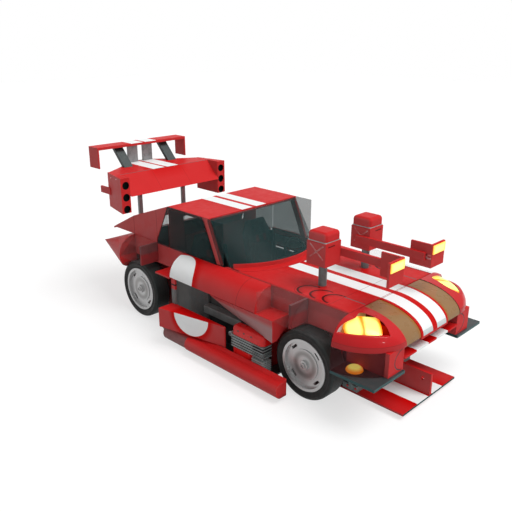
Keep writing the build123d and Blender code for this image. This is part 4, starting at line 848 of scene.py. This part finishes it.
# ---- Corner lamp lenses --------------------------------------------------------------------------
# Lit plates of yellow plastic across the fronts of the corner lamps. They glow orange where
# the plastic meets its frame.
low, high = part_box("lamp_lenses")
lens_glow = Finish("lens_glow", (0.95, 0.55, 0.08), 0.3, specular=0.4)
lens_middle = 0.340
across = lens_glow.sum("ABSOLUTE", lens_glow.sum("SUBTRACT", lens_glow.along("out"), lens_middle))
tall = lens_glow.sum("ABSOLUTE", lens_glow.sum("SUBTRACT", lens_glow.along("Z"),
                                               (low[2] + high[2]) / 2))
rim_share = lens_glow.either(lens_glow.ramp(across, 0.068, 0.100),
                             lens_glow.ramp(tall, 0.022, 0.042))
lens_glow.paint((1.0, 0.95, 0.25), lens_glow.except_for(rim_share))
lens_glow.bump(lens_glow.grain(0.01, 2.0), 0.001, 0.3)


def glow(finish, strength):
    """Light from the plastic itself, in the colours that the finish has."""
    finish.links.new(finish.colour, finish.shader.inputs["Emission Color"])
    finish.shader.inputs["Emission Strength"].default_value = strength


glow(lens_glow, 0.75)
dress("lamp_lenses", lens_glow, 0.003)

# ---- Nose ----------------------------------------------------------------------------------------
# The curved middle of the nose is a moulding in the body's red with the white stripes over
# it. A shelf closes its foot, and a striped lip stands lower down between the nose boxes.
nose_red = racing_red("nose_red", 0.2)
stripes(nose_red, 1.70, 2.40, top_only=False, inner=0.038, outer=0.193)
# The stripes are painted pale grey at the foot of the band, where it faces forward: painted shade.
nose_red.paint((0.62, 0.68, 0.68), nose_red.both(nose_red.strip("out", 0.038, 0.193),
                                                 nose_red.fade("Z", 0.772, 0.766)))
seam(nose_red, "X", 1.783, 0.006, (0.30, 0.0, 0.0))
dress("nose_band", nose_red, 0.003)
lip_red = racing_red("lip_red", 0.12)
lip_low = lip_red.fade("Z", 0.66, 0.64)
lip_red.paint(DEEP_RED, lip_red.both(lip_low, lip_red.strip("out", -1, 0.30, 0.12)))
lip_red.paint(WHITE, lip_red.both(lip_low, lip_red.strip("out", 0.070, 0.265)))
dress("lip_plate", lip_red, 0.002)

# ---- Amber panels --------------------------------------------------------------------------------
# Curved amber plastic between the nose's middle and the headlamp pods. It is darker and
# more orange towards its edges, where it is glued down.
amber = Finish("amber_panel", (0.37, 0.175, 0.075), 0.3, specular=0.15)
edge_share = amber.fade("out", 0.268, 0.232)
olive = amber.ramp(amber.sum("ADD", amber.along("X"), amber.sum(
    "MULTIPLY", amber.along("out"), 0.45)), 2.168, 2.176)
amber.paint((0.33, 0.19, 0.085), olive)
amber.paint((0.40, 0.13, 0.004), amber.both(edge_share, 0.85))
amber.tarnish(0.15, (0.29, 0.13, 0.045), 0.4).uneven(0.06, 0.05)
amber.shader.inputs["Alpha"].default_value = 0.9
amber.bump(amber.grain(0.02, 2.0), 0.001, 0.2)
dress("nose_lenses", amber)

# ---- Headlamp pods -------------------------------------------------------------------------------
# Rounded shells in glossier red, each with an eye-shaped window cut through it. The waist
# below is a second, duller strip.
pod_gloss = Finish("pod_gloss_red", (0.56, 0.008, 0.012), 0.32, specular=0.10, coat=0.22)
pod_gloss.tarnish(0.3, (0.50, 0.010, 0.012), 0.5).uneven(0.06, 0.05)
waist = pod_gloss.fade("Z", 0.775, 0.76)
pod_gloss.paint((0.36, 0.022, 0.024), pod_gloss.both(waist, 0.55))
seam_line = pod_gloss.strip("Z", 0.766, 0.769)
pod_gloss.paint((0.24, 0.012, 0.012), pod_gloss.both(seam_line, 0.7))
# Inside each window the walls facing in and the floor are painted dark as shade, and one
# forward-facing wall is painted pale as a chrome reflection.
inward_shade = pod_gloss.sum("ADD", pod_gloss.facing("X"), pod_gloss.both(
    pod_gloss.facing("Y"), pod_gloss.fade("Y", -0.001, 0.001, -1.0, 1.0)))
pod_gloss.paint((0.004, 0.022, 0.024), pod_gloss.both(pod_gloss.ramp(inward_shade, -0.1, -0.3),
                                                     pod_gloss.fade("Z", 0.73, 0.74)))
pod_floor_shade = pod_gloss.both(pod_gloss.faces("Z", 0.6, 0.8),
                           pod_gloss.strip("Z", 0.70, 0.77))
pod_gloss.paint((0.006, 0.028, 0.030), pod_floor_shade)
wall_reflection = pod_gloss.both(pod_gloss.faces("X", 0.7, 0.9),
                             pod_gloss.strip("X", 1.786, 1.798))
pod_gloss.paint((0.60, 0.64, 0.64), wall_reflection)
dress("nose_pods", pod_gloss, 0.003)

# ---- Nose boxes ----------------------------------------------------------------------------------
# Plain square boxes hang below the pods. A curved slot in each front face is painted dark as
# the shade inside it, with a sunken bump.
box_red = racing_red("box_red", 0.2)
bow = box_red.oval(box_red.along("out"), box_red.along("Z"), (0.470, 0.607), (0.125, 0.100))
slot_shade = box_red.both(box_red.within(bow, 0.955, 1.0, 0.03),
                        box_red.fade("out", 0.480, 0.490))
front_on = box_red.faces("X", 0.6, 0.8)
box_red.paint((0.008, 0.055, 0.060), box_red.both(slot_shade, front_on))
box_red.bump(box_red.both(slot_shade, front_on), -0.006, 0.6)
dress("nose_boxes", box_red, 0.003)

# ---- Headlamps and fog lamps ---------------------------------------------------------------------
# Twin round lamps fill each window, and a flat oval fog lamp sits on the plate below. They
# are lit, pale yellow in the middle and orange at the rim.
lamp_glow = Finish("lamp_glow", (1.0, 0.93, 0.20), 0.25, specular=0.5)
corner_place = lamp_glow.sum("MULTIPLY", lamp_glow.sum(
    "SUBTRACT", lamp_glow.along("X"), lamp_glow.along("out")), math.sqrt(0.5))
lamp_height, lamp_size = 0.880, (0.084, 0.084)
outer_lamp = lamp_glow.oval(corner_place, lamp_glow.along("Z"), (0.798, lamp_height), lamp_size)
inner_lamp = lamp_glow.oval(corner_place, lamp_glow.along("Z"), (0.950, lamp_height), lamp_size)
outer_rim = lamp_glow.ramp(outer_lamp, 0.60, 0.92)
inner_rim = lamp_glow.either(lamp_glow.ramp(inner_lamp, 0.60, 0.92),
                             lamp_glow.ramp(outer_lamp, 1.12, 1.0))
chosen = lamp_glow.sum("LESS_THAN", outer_lamp, 1.0)
both_rims = lamp_glow.sum("ADD", lamp_glow.both(chosen, outer_rim),
                          lamp_glow.both(lamp_glow.except_for(chosen), inner_rim))
high_up = lamp_glow.fade("Z", 0.66, 0.70)
fog_middle = (1.918, 0.758)
fog = lamp_glow.oval(lamp_glow.along("X"), lamp_glow.along("out"), fog_middle, (0.076, 0.076))
fog_rim = lamp_glow.both(lamp_glow.ramp(fog, 0.55, 0.95), lamp_glow.except_for(high_up))
lamp_glow.paint((0.95, 0.24, 0.0), lamp_glow.either(lamp_glow.both(both_rims, high_up), fog_rim))
lamp_glow.bump(lamp_glow.grain(0.012, 2.0), 0.001, 0.2)
glow(lamp_glow, 0.75)
dress("headlamps", lamp_glow)
fog_lens = turned("fog_lens_left", [(0.074, 0.0), (0.076, 0.006), (0.071, 0.018), (0.060, 0.028),
                                    (0.040, 0.036), (0.018, 0.0395), (0.004, 0.040)], 48)
stand(fog_lens, (*fog_middle, 0.4945))
pair(fog_lens, lamp_glow, "chassis")

# ---- Canard plates -------------------------------------------------------------------------------
# Flat plates below the nose boxes, in dark grey composite. Their cut edges show a thin
# blue-green line of resin.
canard_grey = Finish("canard_grey", (0.042, 0.050, 0.052), 0.42, specular=0.2)
canard_grey.paint((0.062, 0.036, 0.042), canard_grey.fade("X", 2.0, 1.80, 0.0, 0.7))
canard_grey.tarnish(0.12, (0.11, 0.08, 0.08), 0.5).uneven(0.06, 0.08)
plate_edge = canard_grey.flanks("Z", 0.6, 0.4)
canard_grey.paint((0.012, 0.085, 0.088), canard_grey.both(plate_edge, 0.7))
dress("canards", canard_grey, 0.002)

# ---- Splitter ------------------------------------------------------------------------------------
# The lowest plate at the front, with a tall fin that carries the tow hole and white stripes
# beside it. Its front edge is dark resin, and a bolted grey stay stands on each side.
splitter_red = racing_red("splitter_red", 0.2)
blade_top = splitter_red.both(splitter_red.faces("Z", 0.5, 0.7),
                              splitter_red.fade("Z", 0.07, 0.062))
splitter_red.paint(DEEP_RED, splitter_red.both(
    splitter_red.strip("out", -1, 0.24, 0.12), blade_top))
splitter_red.paint(WHITE, splitter_red.both(
    splitter_red.both(splitter_red.strip("out", 0.035, 0.215),
                      splitter_red.fade("X", 1.60, 1.603)), blade_top))
front_edge = splitter_red.both(splitter_red.faces("X", 0.5, 0.7),
                               splitter_red.fade("Z", 0.064, 0.060))
splitter_red.paint((0.004, 0.045, 0.045), front_edge)
dress("splitter", splitter_red, 0.002)
stay_grey = Finish("stay_grey", (0.24, 0.30, 0.30), 0.4, metal=0.1, specular=0.3)
stay_grey.tarnish(0.05, (0.08, 0.08, 0.075), 0.6).uneven(0.04, 0.08).worn((0.4, 0.42, 0.42), 0.6)
dress("splitter_stays", stay_grey, 0.004)
bolt_red = Finish("stay_bolt_red", (0.60, 0.010, 0.010), 0.3, specular=0.4, coat=0.3)
bolt_red.tarnish(0.006, (0.40, 0.008, 0.008), 0.5).uneven(0.006, 0.06)
bolt_red.bump(bolt_red.grain(0.002), 0.0002)
bolts = []
for place in (1.640, 1.730):
    bolt = turned("bolt", [(0.013, 0.0), (0.013, 0.004), (0.010, 0.007), (0.003, 0.008)], 20)
    bolts.append(stand(bolt, (place, 0.4545, 0.095), LEFTWARDS))
pair(joined("stay_bolts_left", bolts), bolt_red, "chassis")

# ---- Tail ----------------------------------------------------------------------------------------
# The deck falls from the roof to the tail in two flat slopes. Below it the shoulders run out
# into a fan that meets in a point; its narrow facets are painted on as dark rays of shade, with a
# bump.
deck_red = racing_red("deck_red", 0.24)
stripes(deck_red, -0.80, -0.60, inner=0.029, outer=0.184)
seam(deck_red, "X", -1.405, 0.005)
seam(deck_red, "X", -0.951, 0.004)
dress("tail_deck", deck_red, 0.004)
tail_red = racing_red("tail_red", 0.24)
fan_foot, fan_middle, rays_a_radian = 0.700, 0.660, 44
turn_round = tail_red.sum("ARCTAN2", tail_red.sum("SUBTRACT", tail_red.along("Z"), fan_foot),
                          tail_red.sum("SUBTRACT", tail_red.along("out"), fan_middle))
facet_shade = tail_red.ramp(tail_red.waves(turn_round, rays_a_radian), 0.4, 0.9)
front_end = tail_red.both(tail_red.flanks("X", 0.25, 0.5),
                          tail_red.fade("X", -1.56, -1.50))
tail_red.paint((0.22, 0.018, 0.018), tail_red.both(facet_shade, front_end, 0.55))
tail_red.bump(tail_red.both(facet_shade, front_end), 0.002, 0.4)
dress("tail_lower", tail_red, 0.003)

# ---- Lower wing ----------------------------------------------------------------------------------
# The main wing slopes up to a sharp crest and runs flat to the rear, where its stripes are.
# Hollow boxes with three round holes close its ends, and grey tubes carry it.
wing_red = racing_red("wing_red", 0.2)
stripes(wing_red, -2.30, -1.632, inner=0.020, outer=0.193)
slope = wing_red.fade("X", -1.62, -1.61)
for place in (-0.227, 0.227):
    fine = wing_red.strip("Y", place - 0.0015, place + 0.0015, 0.001)
    wing_red.paint((0.30, 0.015, 0.015), wing_red.both(fine, slope, 0.6))
seam(wing_red, "X", -1.632, 0.006, (0.16, 0.10, 0.10))
dress("wing_lower", wing_red, 0.003)
end_box_red = racing_red("end_box_red", 0.2)
top_bore, bore_step, bore_radius = 1.538, 0.142, 0.0458
# The three holes in each end are painted near black as the shade inside them.
for k in range(3):
    height = top_bore - k * bore_step
    shaded_bore = end_box_red.oval(end_box_red.along("out"), end_box_red.along("Z"), (0.737, height),
                            (bore_radius, bore_radius))
    inside = end_box_red.both(end_box_red.ramp(shaded_bore, 1.01, 1.0),
                              end_box_red.fade("X", -1.48, -1.475))
    end_box_red.paint((0.004, 0.010, 0.010), inside)
dress("wing_end_boxes", end_box_red)
rivet_pale = Finish("rivet_pale", (0.80, 0.80, 0.79), 0.3, metal=0.2, specular=0.4)
rivet_pale.tarnish(0.003, (0.5, 0.48, 0.45), 0.5).uneven(0.004, 0.08)
rivet_pale.bump(rivet_pale.grain(0.001), 0.0001)
first_rivet, rivet_step = -1.520, -0.110
rivets = []
for k in range(4):
    rivet = turned("rivet", [(0.0045, 0.0), (0.0042, 0.0015), (0.0025, 0.0028),
                             (0.0006, 0.0032)], 12)
    rivets.append(stand(rivet, (first_rivet + rivet_step * k, 0.8045, 1.611), LEFTWARDS))
pair(joined("end_box_rivets_left", rivets), rivet_pale, "chassis")
wing_post_grey = Finish("wing_post_grey", (0.30, 0.40, 0.40), 0.4, metal=0.1, specular=0.3)
wing_post_grey.tarnish(0.05, (0.18, 0.22, 0.22), 0.5).uneven(0.03, 0.08)
wing_post_grey.worn((0.10, 0.34, 0.34), 0.7)
wing_post_grey.bump(wing_post_grey.grain(0.003, 3.0, (1, 1, 0.2)), 0.0003, 0.3)
dress("wing_posts", wing_post_grey, 0.003)

# ---- Struts and upper wing -----------------------------------------------------------------------
# Two raked dark struts and two grey upright plates hold the upper wing. Its stripes line up
# with those of the wing below.
strut_dark = Finish("strut_dark", (0.026, 0.038, 0.038), 0.38, metal=0.1, specular=0.35)
middle_plates = strut_dark.fade("out", 0.24, 0.23)
strut_dark.paint((0.30, 0.31, 0.315), middle_plates)
strut_dark.tarnish(0.05, (0.05, 0.06, 0.055), 0.5).uneven(0.04, 0.1)
strut_dark.worn((0.03, 0.12, 0.12), 0.5)
dress("wing_struts", strut_dark, 0.003)
upper_red = racing_red("upper_wing_red", 0.2)
stripes(upper_red, -2.5, -2.0, inner=0.020, outer=0.193)
dress("wing_upper", upper_red, 0.004)

# ---- Dashboard -----------------------------------------------------------------------------------
# A dark moulded panel across the cabin with the steering column in front of the left seat.
# Its skin is a fine leather grain, dusty on top, and five round dials are let into it.
dash_black = Finish("dash_black", (0.020, 0.022, 0.022), 0.5, specular=0.35)
dash_black.tarnish(0.15, (0.060, 0.048, 0.045), 0.6).uneven(0.02, 0.08)
dash_black.bump(dash_black.grain(0.0035, 3.0), 0.0012, 0.5)
dress("dashboard", dash_black, 0.004)
dial_black = Finish("dial_black", (0.015, 0.016, 0.016), 0.35, specular=0.4)
dial_centre = dial_black.fade("X", 0.3215, 0.3225)
dial_black.paint((0.35, 0.36, 0.34), dial_black.both(dial_centre, dial_black.ramp(
    dial_black.grain(0.006, 2.0), 0.55, 0.6, 0.0, 0.6)))
dial_black.tarnish(0.02, (0.05, 0.05, 0.045), 0.4).uneven(0.01, 0.06)
dial_black.bump(dial_black.grain(0.002), 0.0002)
dials = []
for y, size in ((0.285, 0.030), (0.385, 0.044), (0.485, 0.030), (-0.02, 0.024), (0.06, 0.024)):
    bezel = turned("bezel", [(size, 0.0), (size, 0.012), (size * 0.94, 0.016), (size * 0.84, 0.016),
                             (size * 0.80, 0.010)], 36)
    dials.append(stand(bezel, (0.332, y, 0.868), (0, -90, 0)))
fit(joined("dash_dials", dials), dial_black, "chassis")

# ---- Engine, gearbox and tank --------------------------------------------------------------------
# The cast block stands on the floor under the bonnet, and the fuel cell lies flat behind the
# seats. Valve covers, intake trumpets and belt pulleys are bolted to the block, and oil has
# darkened the castings.
block_cast = Finish("block_cast", (0.15, 0.15, 0.155), 0.55, metal=0.6, specular=0.4)
block_cast.tarnish(0.1, (0.05, 0.042, 0.035), 0.7).uneven(0.03, 0.12)
block_cast.paint((0.03, 0.032, 0.032), block_cast.fade("X", -0.80, -0.82))
block_cast.worn((0.5, 0.5, 0.5), 0.7).bump(block_cast.grain(0.004), 0.0014, 0.6)
dress("drivetrain", block_cast, 0.006)
cover_cast = Finish("cover_cast", (0.10, 0.105, 0.11), 0.45, metal=0.3, specular=0.35)
cover_cast.tarnish(0.05, (0.05, 0.042, 0.035), 0.6).uneven(0.03, 0.1)
cover_cast.worn((0.5, 0.5, 0.5), 0.7).bump(cover_cast.grain(0.003), 0.0008, 0.5)
first_rib, rib_step = 0.990, 0.064
lid = [block("lid", (0.950, 0.120, 0.655), (1.430, 0.255, 0.716), 0.012, 3)]
for k in range(7):
    x0 = first_rib + rib_step * k
    lid.append(block("rib", (x0, 0.132, 0.712), (x0 + 0.010, 0.243, 0.724), 0.003))
pair(joined("valve_cover_left", lid), cover_cast, "chassis")
plenum = block("intake_plenum", (0.960, -0.085, 0.655), (1.420, 0.085, 0.730), 0.018, 3)
fit(plenum, cover_cast, "chassis")
first_horn, horn_step = 1.015, 0.115
trumpets = []
for k in range(4):
    horn = turned("horn", [(0.028, 0.0), (0.024, 0.006), (0.022, 0.060), (0.025, 0.082),
                           (0.034, 0.098), (0.036, 0.100), (0.033, 0.098), (0.020, 0.060)], 28)
    trumpets.append(stand(horn, (first_horn + horn_step * k, 0.048, 0.728)))
pair(joined("intake_trumpets_left", trumpets), nut_steel, "chassis")
pulleys = []
for y, z, size in ((0.0, 0.240, 0.085), (0.130, 0.420, 0.050), (-0.130, 0.420, 0.050),
                   (0.0, 0.560, 0.065)):
    pulley = turned("pulley", [(size, 0.0), (size, 0.004), (size * 0.86, 0.009),
                               (size * 0.86, 0.018), (size, 0.023), (size, 0.027),
                               (size * 0.4, 0.027), (size * 0.3, 0.036)])
    pulleys.append(stand(pulley, (1.499, y, z), (0, 90, 0)))
fit(joined("belt_pulleys", pulleys), nut_steel, "chassis")

# ---- Seats ---------------------------------------------------------------------------------------
# High-backed racing buckets: a moulded black shell holds stuffed pads of knitted black cloth,
# sewn in channels. Four webbing straps meet at a buckle over the lap.
shell_black = Finish("seat_shell", (0.016, 0.017, 0.018), 0.35, specular=0.4)
shell_weave = shell_black.weave("Y", "Z", 900)
shell_black.paint((0.035, 0.036, 0.038), shell_black.ramp(shell_weave, -0.2, 0.6, 0.0, 0.6))
shell_black.tarnish(0.1, (0.05, 0.05, 0.048), 0.4).uneven(0.05, 0.07).worn((0.14, 0.14, 0.14), 0.6)
SEAT_MIDDLE = 0.385
BACK_FOOT = (-0.245, SEAT_MIDDLE, 0.30)
BACK_LEAN = (0, -11.6, 0)


def seat_shell():
    """The tub of one seat: a pan, a raked back with rounded shoulders, and two side wings."""
    pan = block("pan", (-0.270, 0.175, 0.082), (0.205, 0.595, 0.150), 0.030, 3)
    top = 0.838
    shoulder = 0.70
    back = block("back", (-0.050, -0.215, -0.150), (-0.026, 0.215, top), 0.008, 2)
    clean_start()
    back.select_set(True)
    bpy.context.view_layer.objects.active = back
    bpy.ops.object.mode_set(mode="EDIT")
    bpy.ops.mesh.select_all(action="SELECT")
    bpy.ops.mesh.bisect(plane_co=(0, 0, shoulder), plane_no=(0, 0, 1))
    bpy.ops.object.mode_set(mode="OBJECT")
    for point in back.data.vertices:
        above = max(0.0, point.co.z - shoulder) / (top - shoulder)
        point.co.y *= 1 - 0.34 * above ** 2
    wings = []
    for y0, y1 in ((-0.218, -0.196), (0.196, 0.218)):
        wings.append(block("wing", (-0.040, y0, -0.140), (0.052, y1, 0.660), 0.010, 3))
    raked = joined("raked", [back] + wings)
    stand(raked, BACK_FOOT, BACK_LEAN)
    flanks = []
    for y0, y1 in ((0.168, 0.190), (0.580, 0.602)):
        flanks.append(block("flank", (-0.260, y0, 0.100), (0.180, y1, 0.312), 0.010, 3))
    return joined("seat_shell_left", [pan, raked] + flanks)


for shell in pair(seat_shell(), shell_black, "chassis"):
    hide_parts("seats")
seat_cloth = Finish("seat_cloth", (0.012, 0.0125, 0.013), 0.85, specular=0.15)
seat_cloth.shader.inputs["Sheen Weight"].default_value = 0.15
knit = seat_cloth.both(
    seat_cloth.waves(seat_cloth.along("Y"), 1600),
    seat_cloth.sum("SINE", seat_cloth.sum("MULTIPLY", seat_cloth.sum(
        "ADD", seat_cloth.along("X"), seat_cloth.along("Z")), 1600)))
seat_cloth.paint((0.026, 0.027, 0.028), seat_cloth.ramp(knit, -0.3, 0.6, 0.0, 0.7))
channel = seat_cloth.sum("SINE", seat_cloth.sum("MULTIPLY", seat_cloth.sum(
    "SUBTRACT", seat_cloth.along("out"), 0.385), 94.2))
sewn = seat_cloth.ramp(seat_cloth.sum("ABSOLUTE", channel), 0.16, 0.0)
seat_cloth.paint((0.006, 0.006, 0.006), seat_cloth.both(sewn, 0.7))
seat_cloth.tarnish(0.1, (0.04, 0.04, 0.038), 0.35).uneven(0.02, 0.05)
seat_cloth.bump(sewn, -0.004, 0.7)
seat_cloth.bump(knit, 0.0006, 0.5)


def stuffed(name, low, high, round_by, reach, place, turn):
    """A pad that swells as cloth under pressure, no further than the reach, then is smoothed."""
    piece = block(name, low, high, round_by, 3)
    even = piece.modifiers.new("even_mesh", "REMESH")
    even.mode = "VOXEL"
    even.voxel_size = 0.006
    bpy.ops.object.modifier_apply(modifier="even_mesh")
    cut_shape = [point.co.copy() for point in piece.data.vertices]
    stuffing = piece.modifiers.new("stuffing", "CLOTH")
    stuffing.settings.quality = 5
    stuffing.settings.mass = 0.3
    stuffing.settings.tension_stiffness = 15
    stuffing.settings.compression_stiffness = 15
    stuffing.settings.bending_stiffness = 0.5
    stuffing.settings.use_pressure = True
    stuffing.settings.uniform_pressure_force = 4
    stuffing.settings.effector_weights.gravity = 0
    stuffing.collision_settings.use_collision = False
    first, last = 1, 20
    stuffing.point_cache.frame_start = first
    stuffing.point_cache.frame_end = last
    for moment in range(first, last + 1):
        scene.frame_set(moment)
    bpy.ops.object.modifier_apply(modifier="stuffing")
    scene.frame_set(first)
    for point, cut in zip(piece.data.vertices, cut_shape):
        moved = point.co - cut
        if moved.length > reach:
            point.co = cut + moved * (reach / moved.length)
    smooth = piece.modifiers.new("smooth", "SUBSURF")
    smooth.levels = 1
    smooth.render_levels = 1
    bpy.ops.object.modifier_apply(modifier="smooth")
    bpy.ops.object.shade_smooth()
    return stand(piece, place, turn)


for name, low, high, round_by, reach, on_back in (
        ("seat_cushion", (-0.150, 0.232, 0.166), (0.185, 0.538, 0.262), 0.028, 0.016, False),
        ("seat_back", (-0.010, -0.148, 0.020), (0.044, 0.148, 0.600), 0.024, 0.014, True),
        ("seat_headrest", (-0.012, -0.100, 0.640), (0.040, 0.100, 0.790), 0.024, 0.012, True),
        ("thigh_pad_inner", (-0.150, 0.200, 0.170), (0.175, 0.222, 0.292), 0.010, 0.006, False),
        ("thigh_pad_outer", (-0.150, 0.548, 0.170), (0.175, 0.570, 0.292), 0.010, 0.006, False),
        ("side_pad_inner", (0.000, -0.186, 0.040), (0.070, -0.160, 0.560), 0.012, 0.006, True),
        ("side_pad_outer", (0.000, 0.160, 0.040), (0.070, 0.186, 0.560), 0.012, 0.006, True)):
    place, turn = (BACK_FOOT, BACK_LEAN) if on_back else ((0, 0, 0), (0, 0, 0))
    pad = stuffed(name + "_left", low, high, round_by, reach, place, turn)
    for piece in pair(pad, seat_cloth, "chassis"):
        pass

webbing = Finish("harness_webbing", (0.22, 0.012, 0.012), 0.75, specular=0.2)
ribs_across = webbing.waves(webbing.along("Y"), 2200)
webbing.paint((0.12, 0.008, 0.008), webbing.ramp(ribs_across, 0.0, 0.8, 0.0, 0.6))
webbing.tarnish(0.03, (0.16, 0.05, 0.045), 0.4).uneven(0.02, 0.06)
webbing.bump(ribs_across, 0.0004, 0.5)


def strap(name, route, width, across):
    """A flat webbing strap along a route, drawn out edge by edge and given its thickness."""
    clean_start()
    half = Vector(across) * (width / 2)
    shape = bpy.data.meshes.new(name)
    made = bmesh.new()
    rows = [[made.verts.new(Vector(place) - half), made.verts.new(Vector(place) + half)]
            for place in route]
    for a, b in zip(rows, rows[1:]):
        made.faces.new((a[0], a[1], b[1], b[0]))
    made.to_mesh(shape)
    made.free()
    piece = bpy.data.objects.new(name, shape)
    bpy.context.scene.collection.objects.link(piece)
    piece.select_set(True)
    bpy.context.view_layer.objects.active = piece
    smooth = piece.modifiers.new("smooth", "SUBSURF")
    smooth.levels = 2
    smooth.render_levels = 2
    bpy.ops.object.modifier_apply(modifier="smooth")
    thick = piece.modifiers.new("thickness", "SOLIDIFY")
    thick.thickness = 0.003
    thick.offset = 0
    bpy.ops.object.modifier_apply(modifier="thickness")
    bpy.ops.object.shade_smooth_by_angle(angle=math.radians(40))
    return piece


shoulder_route = [(-0.372, 0.060, 1.010), (-0.345, 0.060, 0.965), (-0.290, 0.060, 0.780),
                  (-0.232, 0.060, 0.520), (-0.170, 0.048, 0.380), (-0.075, 0.018, 0.308),
                  (-0.035, 0.0, 0.302)]
lap_route = [(-0.140, 0.172, 0.300), (-0.110, 0.130, 0.306), (-0.060, 0.060, 0.306),
             (-0.020, 0.0, 0.302)]
straps = []
for half_route, width, slant in ((shoulder_route, 0.046, (0, 1)), (lap_route, 0.044, (0.86, 0.5))):
    for sign in (-1, 1):
        route = [(x, SEAT_MIDDLE + sign * out, z) for x, out, z in half_route]
        turn = sign if slant[0] else 1
        straps.append(strap("strap", route, width, (slant[0], slant[1] * turn, 0)))
pair(joined("harness_left", straps), webbing, "chassis")
buckle = turned("buckle_left", [(0.030, 0.0), (0.034, 0.003), (0.034, 0.011), (0.028, 0.016),
                                (0.014, 0.016), (0.012, 0.020), (0.004, 0.021)])
stand(buckle, (-0.030, SEAT_MIDDLE, 0.300))
pair(buckle, nut_steel, "chassis")

low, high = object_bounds()
